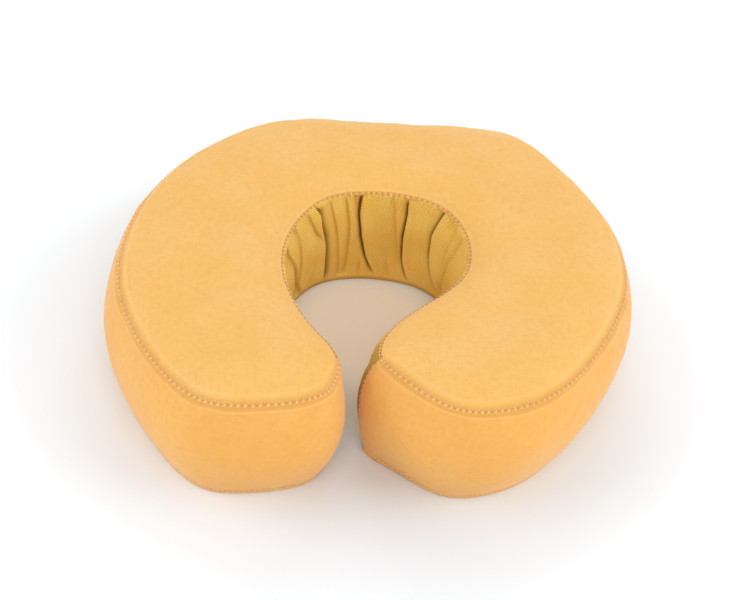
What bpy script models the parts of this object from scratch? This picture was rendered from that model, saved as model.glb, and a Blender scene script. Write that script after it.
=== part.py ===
"""Face cradle cushion: a horseshoe of two foam layers in a sewn, zipped cover.

Metres, +Z up. +Y points to the crown of the head, -Y to the open horns, and
the origin is on the resting plane, below the middle of the outline.
"""

import math

import bmesh
import bpy
import numpy as np
from mathutils import Matrix, Vector
from mathutils.geometry import delaunay_2d_cdt

MM = 0.001

# Widest outline from above, in mm, clockwise from the middle of the crown's back edge. The cushion
# is hand filled, so its left horn reaches further forward than the right one, with a squarer tip.
CROWN_AND_RIGHT_SIDE = [(6.5, 137.5), (80.5, 139), (118.5, 103.5), (144, 50), (149.5, -8.5)]
RIGHT_HORN = [(134.5, -56), (101, -108), (63, -129), (37, -128.5), (10.5, -111.5)]
RIGHT_GAP_SIDE = [(-4.5, -92.5), (3, -67), (29.5, -37)]
FACE_HOLE = [(47.5, -10.5), (46.5, 24), (31.5, 45), (3.5, 51), (-26.5, 43), (-43, 20), (-50, -10.5)]
LEFT_GAP_SIDE = [(-45, -41), (-30.5, -69), (-15, -91.5)]
LEFT_HORN = [(-16, -122), (-54.5, -140), (-89.5, -138.5), (-122, -107)]
LEFT_SIDE = [(-145.5, -58), (-149.5, -0.5), (-132.5, 60.5), (-99.5, 106), (-57.5, 131.5)]
OUTLINE = (
    CROWN_AND_RIGHT_SIDE + RIGHT_HORN + RIGHT_GAP_SIDE + FACE_HOLE
    + LEFT_GAP_SIDE + LEFT_HORN + LEFT_SIDE
)
RIGHT_CORNER = OUTLINE.index((-4.5, -92.5))  # upright seams, where outer and inner bands meet
LEFT_CORNER = OUTLINE.index((-15, -91.5))

# Side profile
SEAM_HEIGHT = 69.5 * MM  # top seam above the resting plane
WIDEST_SHARE = 0.58  # of the seam height
TOP_INSET = 7.9 * MM  # seam inside the widest outline
TOP_INSET_HOLE = 2.9 * MM
BASE_INSET = 12.6 * MM
BASE_INSET_HOLE = 5.6 * MM
HOLE_REACH = 103 * MM  # from the middle, where the hole's insets give way to the outer ones
HOLE_BLEND = 6 * MM
TIP_PLACE = (-4.5 * MM, -92.5 * MM)  # the right horn's inner corner, whose top leans in further
TIP_REACH = 26 * MM
TIP_INSET = 4.5 * MM
GAP_MIDDLE = -9.8 * MM
GAP_BLEND = 1.2 * MM
CROWN_RISE = 8.1 * MM
CROWN_RUN = 28 * MM  # from the seam to the flat of the top

# Thicknesses and clearances
GAP = 0.3 * MM
FOAM_GAP = 0.8 * MM  # under the cloth, whose faces twist a little between the rings
CLOTH = 1.2 * MM
PANEL_BASE = 2.7 * MM  # underside of the bottom panel
PANEL_THICKNESS = 1.0 * MM
BAND_BASE = 0.5 * MM
BAND_TOP = SEAM_HEIGHT - CLOTH - GAP
FOAM_BASE = PANEL_BASE + PANEL_THICKNESS + GAP
FOAM_SPLIT = 45 * MM
SIDE_LEVELS = [14 * MM, 28 * MM, 40 * MM, FOAM_SPLIT, 57 * MM]
THREAD_RADIUS = 0.4 * MM
FINE_THREAD_RADIUS = 0.3 * MM
CORNER_THREAD_ENDS = (6 * MM, 66 * MM)  # heights of the upright seams' ends
SHARP_EDGE = math.radians(40)

# Mesh steps
OUTER_STEPS = 62
INNER_STEPS = 38
OUTER_SPAN = np.arange(OUTER_STEPS + 1)  # left horn's corner seam round the crown to the right one
INNER_SPAN = np.r_[OUTER_STEPS:OUTER_STEPS + INNER_STEPS, 0]  # and back round the face hole
SPLINE_STEPS = 24
CROWN_GRID = 14 * MM
CROWN_MARGIN = 7 * MM

# Zip, across the underside of the crown
ZIP_Y = 95 * MM
ZIP_HALF_LENGTH = 68 * MM
SLOT_HALF_WIDTH = 4 * MM
SLOT_EXTRA = 7 * MM  # past each end of the coil, and for the tapes TAPE_EXTRA
TAPE_EXTRA = 10 * MM
COIL_INNER = 0.45 * MM
COIL_OUTER = 2.2 * MM
COIL_BASE = 3.5 * MM
COIL_HEIGHT = 1.6 * MM
TOOTH_PITCH = 3.4 * MM
TOOTH_DEPTH = 0.7 * MM
TOOTH_OFFSET = 0.25  # of the pitch, each way, so that the two rows' teeth alternate
FLANK_TRIM = 0.99  # keeps two teeth from sharing a root corner
TAPE_INNER = 2.5 * MM
TAPE_OUTER = 12 * MM
TAPE_BASE = 4 * MM
TAPE_THICKNESS = 0.6 * MM
CHANNEL_ROOM = 2 * MM  # of the foam's channel, beside the tapes
CHANNEL_END_ROOM = 12 * MM  # past the coil's ends
CHANNEL_TOP = 7.2 * MM
STOP_HALF_LENGTH = 1.2 * MM
STOP_PAST_COIL = 1.6 * MM
STOP_LIP = 0.1 * MM  # wider than the coil, each side
STOP_BELOW = 0.2 * MM
STOP_ABOVE = 0.4 * MM
SLIDER_X = 61 * MM
SLIDER_LENGTH = 9 * MM
SLIDER_WIDTH = 7.2 * MM
SLIDER_BASE = 2.0 * MM
SLIDER_TOP = 6.4 * MM
POST_HALF_WIDTH = 0.25 * MM
POST_SPAN = (-1.5 * MM, 3 * MM)  # along the zip, from the slider's middle
BRIDGE_BASE = 0.35 * MM
BRIDGE_BAR = 0.45 * MM
BRIDGE_LEG = 0.6 * MM
BRIDGE_HALF_LENGTH = 2.4 * MM
BRIDGE_HALF_WIDTH = 0.8 * MM
JOIN_OVERLAP = 0.1 * MM
PULL_LENGTH = 22 * MM
PULL_WIDTH = 5 * MM
PULL_THICKNESS = 0.8 * MM
PULL_AXIS_Z = 1.45 * MM
PULL_BAR = 0.35 * MM
PULL_WINDOW_LENGTH = 5 * MM
PULL_WINDOW_RIM = 1.2 * MM
ZIP_THREAD_OFFSET = 3 * MM  # from the slot's side
ZIP_THREAD_EXTRA = 5 * MM

# Hook-and-loop strips on the underside: centre, turn about Z, length, width
STRIP_PLACES = {
    "left": ((-85 * MM, -60 * MM), math.radians(107), 100 * MM, 25 * MM),
    "right": ((77 * MM, -56 * MM), math.radians(65), 100 * MM, 25 * MM),
    "crown": ((3 * MM, 71 * MM), 0.0, 100 * MM, 22 * MM),
}
STRIP_THICKNESS = 2.4 * MM
SELVEDGE = 2 * MM
SELVEDGE_THICKNESS = 0.8 * MM

# Halves of the bottom panel are kept by blocks that reach past it
PANEL_CUTTER_REACH = 200 * MM
PANEL_CUTTER_OVER = 5 * MM

AMBER = (0.84, 0.48, 0.17)
MESH_AMBER = (0.72, 0.38, 0.10)
FOAM_CREAM = (0.86, 0.80, 0.62)
FOAM_WHITE = (0.88, 0.87, 0.82)
THREAD_CREAM = (0.88, 0.70, 0.44)
LOOP_BEIGE = (0.70, 0.47, 0.24)
TAPE_BEIGE = (0.72, 0.46, 0.20)
NYLON = (0.62, 0.42, 0.20)
ZINC = (0.55, 0.53, 0.50)


def clear_scene():
    for item in list(bpy.data.objects):
        bpy.data.objects.remove(item, do_unlink=True)


def principled(name, colour, roughness, metallic=0.0):
    material = bpy.data.materials.new(name)
    material.use_nodes = True
    shader = material.node_tree.nodes["Principled BSDF"]
    shader.inputs["Base Color"].default_value = (*colour, 1)
    shader.inputs["Roughness"].default_value = roughness
    shader.inputs["Metallic"].default_value = metallic
    return material


def place(name, data, material):
    data.materials.append(material)
    item = bpy.data.objects.new(name, data)
    bpy.context.collection.objects.link(item)
    return item


def solid(name, points, faces, material, smooth=True):
    """One closed mesh object from its corners and faces."""
    mesh = bpy.data.meshes.new(name)
    mesh.from_pydata([tuple(p) for p in points], [], faces)
    shape = bmesh.new()
    shape.from_mesh(mesh)
    bmesh.ops.recalc_face_normals(shape, faces=shape.faces)
    shape.to_mesh(mesh)
    shape.free()
    if smooth:
        mesh.shade_smooth()
        mesh.set_sharp_from_angle(angle=SHARP_EDGE)
    return place(name, mesh, material)


def block(name, low, high, material):
    """A box between two opposite corners."""
    corners = [(x, y, z) for x in (low[0], high[0]) for y in (low[1], high[1]) for z in (low[2], high[2])]
    faces = [(0, 1, 3, 2), (4, 6, 7, 5), (0, 4, 5, 1), (2, 3, 7, 6), (0, 2, 6, 4), (1, 5, 7, 3)]
    return solid(name, corners, faces, material, smooth=False)


def cut(item, cutter, operation):
    cutter.hide_render = True
    cutter.display_type = "WIRE"
    boolean = item.modifiers.new(operation.lower(), "BOOLEAN")
    boolean.operation = operation
    boolean.object = cutter


def tube(name, points, radius, material, closed=False):
    """A thread: a bevelled curve through the points."""
    curve = bpy.data.curves.new(name, "CURVE")
    curve.dimensions = "3D"
    spline = curve.splines.new("POLY")
    spline.points.add(len(points) - 1)
    for target, point in zip(spline.points, points):
        target.co = (*point, 1)
    spline.use_cyclic_u = closed
    curve.bevel_depth = radius
    curve.bevel_resolution = 0
    curve.use_fill_caps = not closed
    return place(name, curve, material)


# Outline


def closed_spline(points):
    """Points along the closed cubic spline through the given ones, SPLINE_STEPS to a span."""
    count = len(points)
    spans = np.sqrt(np.linalg.norm(np.roll(points, -1, 0) - points, axis=1))
    system = np.zeros((count, count))
    bends = np.zeros((count, 2))
    for i in range(count):
        before, after, nxt = spans[i - 1], spans[i], (i + 1) % count
        system[i, i - 1], system[i, i], system[i, nxt] = before, 2 * (before + after), after
        bends[i] = 6 * ((points[nxt] - points[i]) / after - (points[i] - points[i - 1]) / before)
    second = np.linalg.solve(system, bends)
    curve = []
    for i in range(count):
        h, nxt = spans[i], (i + 1) % count
        for u in np.arange(SPLINE_STEPS) * h / SPLINE_STEPS:
            v = h - u
            curve.append(
                second[i] * v**3 / (6 * h) + second[nxt] * u**3 / (6 * h)
                + (points[i] / h - second[i] * h / 6) * v
                + (points[nxt] / h - second[nxt] * h / 6) * u
            )
    return np.array(curve)


def stretch(curve, start, end, steps):
    """Evenly spaced points and outward normals along the curve, from one outline point to another."""
    order = np.arange(start * SPLINE_STEPS, end * SPLINE_STEPS + 1) % len(curve)
    tangent = np.roll(curve, -1, 0) - np.roll(curve, 1, 0)
    normal = np.c_[-tangent[:, 1], tangent[:, 0]]
    normal /= np.linalg.norm(normal, axis=1)[:, None]
    path, across = curve[order], normal[order]
    along = np.r_[0, np.cumsum(np.linalg.norm(np.diff(path, axis=0), axis=1))]
    at = np.linspace(0, along[-1], steps + 1)
    points = np.c_[np.interp(at, along, path[:, 0]), np.interp(at, along, path[:, 1])]
    normals = np.c_[np.interp(at, along, across[:, 0]), np.interp(at, along, across[:, 1])]
    return points, normals / np.linalg.norm(normals, axis=1)[:, None]


class Edge:
    """The cushion's side: the outline, and how far the side lies inside it at each height."""

    def __init__(self):
        curve = closed_spline(np.array(OUTLINE) * MM)
        curve -= (curve.min(0) + curve.max(0)) / 2
        outer = stretch(curve, LEFT_CORNER, RIGHT_CORNER + len(OUTLINE), OUTER_STEPS)
        inner = stretch(curve, RIGHT_CORNER, LEFT_CORNER, INNER_STEPS)
        self.points = np.vstack([outer[0][:-1], inner[0][:-1]])
        self.normals = np.vstack([outer[1][:-1], inner[1][:-1]])
        reach = np.hypot(self.points[:, 0], self.points[:, 1])
        hole = 1 / (1 + np.exp((reach - HOLE_REACH) / HOLE_BLEND))
        to_tip = np.hypot(self.points[:, 0] - TIP_PLACE[0], self.points[:, 1] - TIP_PLACE[1])
        right_of_gap = 1 / (1 + np.exp((GAP_MIDDLE - self.points[:, 0]) / GAP_BLEND))
        lean = TIP_INSET * np.exp(-((to_tip / TIP_REACH) ** 2)) * right_of_gap
        self.top = TOP_INSET * (1 - hole) + TOP_INSET_HOLE * hole + lean
        self.base = BASE_INSET * (1 - hole) + BASE_INSET_HOLE * hole

    def at(self, z, inside=0.0):
        """The ring of points at one height, a distance inside the cover's face."""
        share = z / SEAM_HEIGHT
        if share < WIDEST_SHARE:
            inset = self.base * (1 - share / WIDEST_SHARE) ** 2
        else:
            inset = self.top * ((share - WIDEST_SHARE) / (1 - WIDEST_SHARE)) ** 2
        flat = self.points - self.normals * (inset + inside)[:, None]
        return np.c_[flat, np.full(len(flat), z)]


def distance_inside(points, ring):
    """How far each point lies from the nearest side of a ring."""
    start, end = ring[None, :, :2], np.roll(ring, -1, 0)[None, :, :2]
    along = end - start
    from_start = points[:, None, :2] - start
    share = np.clip((from_start * along).sum(2) / (along**2).sum(2), 0, 1)
    return np.linalg.norm(from_start - share[..., None] * along, axis=2).min(1)


def inside_ring(points, ring):
    """Whether each point lies within the ring, counting the sides that a ray to +X crosses."""
    x, y = points[:, None, 0], points[:, None, 1]
    x0, y0 = ring[None, :, 0], ring[None, :, 1]
    x1, y1 = np.roll(ring[:, 0], -1)[None], np.roll(ring[:, 1], -1)[None]
    crosses = (y0 > y) != (y1 > y)
    slope = np.where(crosses, y1 - y0, 1)
    return (crosses & (x < x0 + (y - y0) * (x1 - x0) / slope)).sum(1) % 2 == 1


class Crown:
    """The top: one triangulation of the plan that the top panel and the foam below it share."""

    def __init__(self, edge):
        self.seam = edge.at(SEAM_HEIGHT)
        low, high = self.seam[:, :2].min(0), self.seam[:, :2].max(0)
        rows = np.arange(low[1], high[1], CROWN_GRID * math.sqrt(3) / 2)
        grid = np.array(
            [(x + (i % 2) * CROWN_GRID / 2, y) for i, y in enumerate(rows)
             for x in np.arange(low[0], high[0], CROWN_GRID)]
        )
        grid = grid[inside_ring(grid, self.seam)]
        self.grid = grid[distance_inside(grid, self.seam) > CROWN_MARGIN]
        plan = np.vstack([self.seam[:, :2], self.grid])
        ring = list(range(len(self.seam)))
        result = delaunay_2d_cdt([Vector(p) for p in plan], [], [ring[::-1]], 1, 1e-7)
        source = [origins[0] for origins in result[3]]
        self.faces = [tuple(source[i] for i in face) for face in result[2]]

    def surface(self, ring, below=0.0):
        """Corners of the crowned surface over a ring near the seam, lowered by a distance."""
        flat = np.vstack([ring[:, :2], self.grid])
        depth = distance_inside(flat, self.seam)
        depth[: len(ring)] *= inside_ring(ring[:, :2] * (1 - 1e-9), self.seam)
        rise = CROWN_RISE * (1 - (1 - np.clip(depth / CROWN_RUN, 0, 1)) ** 2)
        return np.c_[flat, SEAM_HEIGHT + rise - below]


# Sub-parts


def shell_strip(name, edge, span, material):
    """A band of the cover: cloth between the base and the top seam, along part of the outline."""
    levels = [BAND_BASE, FOAM_BASE, *SIDE_LEVELS, BAND_TOP]
    faces_out = [edge.at(z)[span] for z in levels]
    faces_in = [edge.at(z, CLOTH)[span] for z in reversed(levels)]
    sections = np.stack(faces_out + faces_in, axis=1)
    steps, corners = sections.shape[:2]
    for end, beside in ((0, 1), (-1, -2)):
        inward = sections[beside] - sections[end]
        sections[end] += inward * GAP / np.linalg.norm(inward, axis=1)[:, None]
    faces = [tuple(range(corners)), tuple(range((steps - 1) * corners, steps * corners))]
    for i in range(steps - 1):
        for j in range(corners):
            k = (j + 1) % corners
            a, b = i * corners, (i + 1) * corners
            faces.append((a + j, b + j, b + k, a + k))
    return solid(name, sections.reshape(-1, 3), faces, material)


def ring_walls(rings):
    """Corners and side faces of stacked rings."""
    count = len(rings[0])
    faces = []
    for i in range(len(rings) - 1):
        for j in range(count):
            k = (j + 1) % count
            faces.append((i * count + j, i * count + k, (i + 1) * count + k, (i + 1) * count + j))
    return np.vstack(rings), faces


def foam_base_layer(edge, material):
    inside = CLOTH + FOAM_GAP
    levels = [FOAM_BASE, *[z for z in SIDE_LEVELS if z <= FOAM_SPLIT]]
    points, faces = ring_walls([edge.at(z, inside) for z in levels])
    count = len(edge.points)
    faces += [tuple(range(count)), tuple(range(len(points) - count, len(points)))]
    foam = solid("foam_base_layer", points, faces, material)
    half_length = ZIP_HALF_LENGTH + CHANNEL_END_ROOM
    half_width = TAPE_OUTER + CHANNEL_ROOM
    low = (-half_length, ZIP_Y - half_width, 0)
    high = (half_length, ZIP_Y + half_width, CHANNEL_TOP)
    cut(foam, block("zip_channel_cutter", low, high, material), "DIFFERENCE")
    return foam


def foam_comfort_layer(edge, crown, material):
    inside = CLOTH + FOAM_GAP
    levels = [FOAM_SPLIT + GAP, *[z for z in SIDE_LEVELS if z > FOAM_SPLIT], BAND_TOP]
    points, faces = ring_walls([edge.at(z, inside) for z in levels])
    count = len(edge.points)
    top = crown.surface(edge.at(SEAM_HEIGHT, inside), CLOTH + FOAM_GAP)
    start = len(points) - count
    faces.append(tuple(range(count)))
    points = np.vstack([points[:start], top])
    faces += [tuple(start + i for i in face) for face in crown.faces]
    return solid("foam_comfort_layer", points, faces, material)


def cover_top_panel(crown, material):
    upper, lower = crown.surface(crown.seam), crown.surface(crown.seam, CLOTH)
    shift, count = len(upper), len(crown.seam)
    faces = list(crown.faces) + [tuple(shift + i for i in face[::-1]) for face in crown.faces]
    for i in range(count):
        j = (i + 1) % count
        faces.append((i, j, shift + j, shift + i))
    return solid("cover_top_panel", np.vstack([upper, lower]), faces, material)


def bottom_panel(name, edge, toward_back, material):
    """The cloth under the foam, on one side of the zip, with half of the zip's slot cut out."""
    inside = CLOTH + FOAM_GAP
    low, high = edge.at(PANEL_BASE, inside), edge.at(PANEL_BASE, inside)
    high[:, 2] += PANEL_THICKNESS
    points, faces = ring_walls([low, high])
    count = len(low)
    faces += [tuple(range(count)), tuple(range(count, 2 * count))]
    panel = solid(name, points, faces, material)
    far, over = PANEL_CUTTER_REACH, PANEL_CUTTER_OVER
    split = ZIP_Y + (GAP / 2 if toward_back else -GAP / 2)
    y_low, y_high = (split, split + far) if toward_back else (split - 2 * far, split)
    keep = block(name + "_keep", (-far, y_low, -over), (far, y_high, 2 * over), material)
    cut(panel, keep, "INTERSECT")
    reach = ZIP_HALF_LENGTH + SLOT_EXTRA
    slot = block(
        name + "_slot", (-reach, ZIP_Y - SLOT_HALF_WIDTH, -over),
        (reach, ZIP_Y + SLOT_HALF_WIDTH, 2 * over), material,
    )
    cut(panel, slot, "DIFFERENCE")
    return panel


def zip_tape(name, side, material):
    """side is +1 for the half of the zip toward the crown's back edge, -1 for the front half."""
    y = sorted((ZIP_Y + side * TAPE_INNER, ZIP_Y + side * TAPE_OUTER))
    reach = ZIP_HALF_LENGTH + TAPE_EXTRA
    return block(name, (-reach, y[0], TAPE_BASE), (reach, y[1], TAPE_BASE + TAPE_THICKNESS), material)


def zip_coil(name, side, material):
    """One row of the zip: a toothed bar, its teeth toward the other row."""
    count = round(2 * ZIP_HALF_LENGTH / TOOTH_PITCH)
    back, root, tip = COIL_OUTER, COIL_INNER + TOOTH_DEPTH, COIL_INNER
    profile = [(-ZIP_HALF_LENGTH, back), (-ZIP_HALF_LENGTH, root)]
    for i in range(count):
        x = -ZIP_HALF_LENGTH + (i + 0.5 + TOOTH_OFFSET * side) * TOOTH_PITCH
        quarter = TOOTH_PITCH / 4
        profile += [(x - quarter, root), (x - quarter / 2, tip), (x + quarter / 2, tip)]
        profile.append((x + quarter * FLANK_TRIM, root))
    profile += [(ZIP_HALF_LENGTH + TOOTH_PITCH, root), (ZIP_HALF_LENGTH + TOOTH_PITCH, back)]
    heights = (COIL_BASE, COIL_BASE + COIL_HEIGHT)
    rings = [np.array([(x, ZIP_Y + side * y, z) for x, y in profile]) for z in heights]
    points, faces = ring_walls(rings)
    faces += [tuple(range(len(profile))), tuple(range(len(profile), 2 * len(profile)))]
    return solid(name, points, faces, material, smooth=False)


def zip_stop(name, x, material):
    half_width = COIL_OUTER + STOP_LIP
    low = (x - STOP_HALF_LENGTH, ZIP_Y - half_width, COIL_BASE - STOP_BELOW)
    high = (x + STOP_HALF_LENGTH, ZIP_Y + half_width, COIL_BASE + COIL_HEIGHT + STOP_ABOVE)
    return block(name, low, high, material)


def joined(shapes, name, material):
    """One closed body from overlapping boxes, each a (low, high) pair of corners."""
    whole = block(name, *shapes[0], material)
    for i, (low, high) in enumerate(shapes[1:]):
        cut(whole, block(f"{name}_piece_{i}", low, high, material), "UNION")
    return whole


def zip_slider(material):
    """Lower and upper plates, the thin post between the rows, and the bridge that holds the pull."""
    x, y = SLIDER_X, ZIP_Y
    long, wide = SLIDER_LENGTH / 2, SLIDER_WIDTH / 2
    below, above = COIL_BASE - GAP, COIL_BASE + COIL_HEIGHT + GAP
    reach, across = BRIDGE_HALF_LENGTH, BRIDGE_HALF_WIDTH
    leg_low, leg_high = BRIDGE_BASE + JOIN_OVERLAP, SLIDER_BASE + JOIN_OVERLAP
    lower_plate = ((x - long, y - wide, SLIDER_BASE), (x + long, y + wide, below))
    upper_plate = ((x - long, y - wide, above), (x + long, y + wide, SLIDER_TOP))
    post = (
        (x + POST_SPAN[0], y - POST_HALF_WIDTH, below - JOIN_OVERLAP),
        (x + POST_SPAN[1], y + POST_HALF_WIDTH, above + JOIN_OVERLAP),
    )
    bar = (
        (x - reach, y - across, BRIDGE_BASE),
        (x + reach, y + across, BRIDGE_BASE + BRIDGE_BAR),
    )
    left_leg = ((x - reach, y - across, leg_low), (x - reach + BRIDGE_LEG, y + across, leg_high))
    right_leg = ((x + reach - BRIDGE_LEG, y - across, leg_low), (x + reach, y + across, leg_high))
    shapes = [lower_plate, upper_plate, post, bar, left_leg, right_leg]
    return joined(shapes, "zip_slider", material)


def zip_pull(material):
    """A flat tab with a window; the bar at its end turns under the slider's bridge."""
    half_wide, half_thick = PULL_WIDTH / 2, PULL_THICKNESS / 2
    window_wide = half_wide - PULL_WINDOW_RIM
    pull = block(
        "zip_pull", (-PULL_LENGTH, -half_wide, -half_thick), (PULL_BAR, half_wide, half_thick), material
    )
    window = block(
        "zip_pull_window", (-PULL_WINDOW_LENGTH, -window_wide, -2 * half_thick),
        (-PULL_BAR, window_wide, 2 * half_thick), material,
    )
    for item in (pull, window):
        item.location = (SLIDER_X, ZIP_Y, PULL_AXIS_Z)
    cut(pull, window, "DIFFERENCE")
    return pull


def turned(where, length, width):
    """Corners of a rectangle turned about Z round its own centre."""
    centre, angle = where
    spin = Matrix.Rotation(angle, 2)
    signs = ((-1, -1), (1, -1), (1, 1), (-1, 1))
    return [Vector(centre) + spin @ Vector((sx * length / 2, sy * width / 2)) for sx, sy in signs]


def loop_strip(name, where, length, width, material):
    """Loop tape: a pile pad on a thinner backing, whose edges are sewn down."""
    pad = turned(where, length - 2 * SELVEDGE, width - 2 * SELVEDGE)
    back = turned(where, length, width)
    low_back = STRIP_THICKNESS - SELVEDGE_THICKNESS
    rings = [
        np.array([(*p, 0.0) for p in pad]),
        np.array([(*p, low_back) for p in pad]),
        np.array([(*p, low_back) for p in back]),
        np.array([(*p, STRIP_THICKNESS) for p in back]),
    ]
    points, faces = ring_walls(rings)
    faces += [(0, 1, 2, 3), (12, 13, 14, 15)]
    return solid(name, points, faces, material, smooth=False)


def strip_thread(name, where, length, width, material):
    low_back = STRIP_THICKNESS - SELVEDGE_THICKNESS
    z = low_back - GAP - FINE_THREAD_RADIUS
    path = [(*p, z) for p in turned(where, length - SELVEDGE, width - SELVEDGE)]
    return tube(name, path, FINE_THREAD_RADIUS, material, closed=True)


def seam_threads(edge, material):
    """Topstitching along the top and bottom seams and down the upright seams at the horns."""
    clear = -(GAP + THREAD_RADIUS)
    top, base = edge.at(SEAM_HEIGHT, clear), edge.at(PANEL_BASE, clear)
    top[:, 2] -= THREAD_RADIUS / 2
    shorten = slice(1, -1)
    for name, ring, span in (
        ("thread_top_outer_seam", top, OUTER_SPAN),
        ("thread_hole_seam", top, INNER_SPAN),
        ("thread_bottom_outer_seam", base, OUTER_SPAN),
        ("thread_bottom_inner_seam", base, INNER_SPAN),
    ):
        tube(name, ring[span][shorten], THREAD_RADIUS, material)
    for name, index in (("thread_left_corner_seam", 0), ("thread_right_corner_seam", OUTER_STEPS)):
        heights = [CORNER_THREAD_ENDS[0], *SIDE_LEVELS, CORNER_THREAD_ENDS[1]]
        tube(name, [edge.at(z, clear)[index] for z in heights], THREAD_RADIUS, material)


def zip_thread(name, side, material):
    y = ZIP_Y + side * (SLOT_HALF_WIDTH + ZIP_THREAD_OFFSET)
    z = PANEL_BASE - GAP - FINE_THREAD_RADIUS
    reach = ZIP_HALF_LENGTH + ZIP_THREAD_EXTRA
    return tube(name, [(-reach, y, z), (reach, y, z)], FINE_THREAD_RADIUS, material)


def build():
    clear_scene()
    microfibre = principled("microfibre", AMBER, 0.85)
    gathered_mesh = principled("gathered_mesh", MESH_AMBER, 0.9)
    base_foam = principled("base_foam", FOAM_CREAM, 0.95)
    comfort_foam = principled("comfort_foam", FOAM_WHITE, 0.95)
    thread = principled("thread", THREAD_CREAM, 0.6)
    loop = principled("loop_pile", LOOP_BEIGE, 0.95)
    tape = principled("zip_tape", TAPE_BEIGE, 0.85)
    nylon = principled("nylon_coil", NYLON, 0.4)
    zinc = principled("zinc", ZINC, 0.35, 0.9)

    edge = Edge()
    crown = Crown(edge)
    foam_base_layer(edge, base_foam)
    foam_comfort_layer(edge, crown, comfort_foam)
    cover_top_panel(crown, microfibre)
    shell_strip("cover_outer_band", edge, OUTER_SPAN, microfibre)
    shell_strip("cover_inner_band", edge, INNER_SPAN, gathered_mesh)
    bottom_panel("cover_bottom_panel_front", edge, False, microfibre)
    bottom_panel("cover_bottom_panel_rear", edge, True, microfibre)

    for side, word in ((-1, "front"), (1, "rear")):
        zip_tape(f"zip_tape_{word}", side, tape)
        zip_coil(f"zip_coil_{word}", side, nylon)
        zip_thread(f"thread_zip_{word}", side, thread)
    zip_stop("zip_stop_right", ZIP_HALF_LENGTH + TOOTH_PITCH + STOP_PAST_COIL, zinc)
    zip_stop("zip_stop_left", -ZIP_HALF_LENGTH - STOP_PAST_COIL, zinc)
    zip_slider(zinc)
    zip_pull(zinc)

    for word, (centre, angle, length, width) in STRIP_PLACES.items():
        loop_strip(f"loop_strip_{word}", (centre, angle), length, width, loop)
        strip_thread(f"thread_loop_{word}", (centre, angle), length, width, thread)
    seam_threads(edge, thread)


build()
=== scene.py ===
"""Face cradle cushion: the visible model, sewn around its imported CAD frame, and its studio."""
import math

import bmesh
import bpy
import numpy as np
from mathutils import Matrix, Vector
from mathutils.geometry import delaunay_2d_cdt


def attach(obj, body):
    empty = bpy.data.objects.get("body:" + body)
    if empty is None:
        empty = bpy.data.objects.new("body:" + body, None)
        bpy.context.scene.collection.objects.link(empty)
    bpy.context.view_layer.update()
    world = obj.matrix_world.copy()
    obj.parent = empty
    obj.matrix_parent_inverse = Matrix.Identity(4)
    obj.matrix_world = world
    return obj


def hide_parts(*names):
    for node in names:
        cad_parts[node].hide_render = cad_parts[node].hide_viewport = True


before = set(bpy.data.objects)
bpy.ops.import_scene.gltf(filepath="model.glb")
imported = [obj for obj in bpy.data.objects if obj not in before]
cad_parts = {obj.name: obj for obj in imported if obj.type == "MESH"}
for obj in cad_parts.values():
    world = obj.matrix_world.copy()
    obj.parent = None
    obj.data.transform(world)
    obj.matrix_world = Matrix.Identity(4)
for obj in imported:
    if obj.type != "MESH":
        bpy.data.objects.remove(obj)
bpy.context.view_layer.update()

MM = 0.001  # every length below is in mm, up to piece(); the studio is in metres

# The widest outline from above, in mm, clockwise from the middle of the crown's back edge.
CROWN_AND_RIGHT_SIDE = [(6.5, 137.5), (80.5, 139), (118.5, 103.5), (144, 50), (149.5, -8.5)]
RIGHT_HORN = [(134.5, -56), (101, -108), (63, -129), (37, -128.5), (10.5, -111.5)]
RIGHT_GAP_SIDE = [(-4.5, -92.5), (3, -67), (29.5, -37)]
FACE_HOLE = [(47.5, -10.5), (46.5, 24), (31.5, 45), (3.5, 51), (-26.5, 43), (-43, 20), (-50, -10.5)]
LEFT_GAP_SIDE = [(-45, -41), (-30.5, -69), (-15, -91.5)]
LEFT_HORN = [(-16, -122), (-54.5, -140), (-89.5, -138.5), (-122, -107)]
LEFT_SIDE = [(-145.5, -58), (-149.5, -0.5), (-132.5, 60.5), (-99.5, 106), (-57.5, 131.5)]
OUTLINE = (
    CROWN_AND_RIGHT_SIDE + RIGHT_HORN + RIGHT_GAP_SIDE + FACE_HOLE
    + LEFT_GAP_SIDE + LEFT_HORN + LEFT_SIDE
)
RIGHT_CORNER = OUTLINE.index((-4.5, -92.5))  # upright seams, where outer and inner bands meet
LEFT_CORNER = OUTLINE.index((-15, -91.5))
HOLE_MIDDLE = OUTLINE.index((3.5, 51))
HOLE_MIDDLE_X = 1.0  # where the folds are counted from
CORNER_SHIFT = 2.5  # the right corner seam lies this far round into the gap
SPLINE_STEPS = 96
MERGE = 1e-4  # points this close become one

# Side profile, as in the CAD
SEAM_HEIGHT = 69.5
WIDEST_SHARE = 0.58
TOP_INSET = 7.9
TOP_INSET_HOLE = 2.9
BASE_INSET = 12.6
BASE_INSET_HOLE = 5.6
HOLE_REACH = 103
QUIET_REACH = 85  # nearer the middle than this, the top seam lies flat and quiet
HOLE_BLEND = 6
TIP_PLACE = (-4.5, -92.5)  # the right horn's inner corner, whose top leans in further
TIP_REACH = 26
TIP_INSET = 4.5
GAP_MIDDLE = -9.8
GAP_BLEND = 1.2
CROWN_RISE = 8.1
CROWN_RUN = 28
PILLOW_EDGE = 0.9  # the quick rise of the panel beside the seam
PILLOW_RUN = 4.5
ROLL_EDGE = 2.3  # the same round the crown and along the gap, where the cloth rolls over the seam
ROLL_RUN = 3.4
ROLL_MIDDLE = (-8, -55)  # of the gap
ROLL_REACH = 36
ROLL_FROM_Y, ROLL_OVER_Y = -15, 55  # the crown's roll grows over these
ROLL_FROM, ROLL_OVER = 75, 20
SWELL_RUN, SWELL_EASE = 22, 1.5  # the panel's swell grows this far from the seam
DIMPLE_RUN = 6
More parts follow.
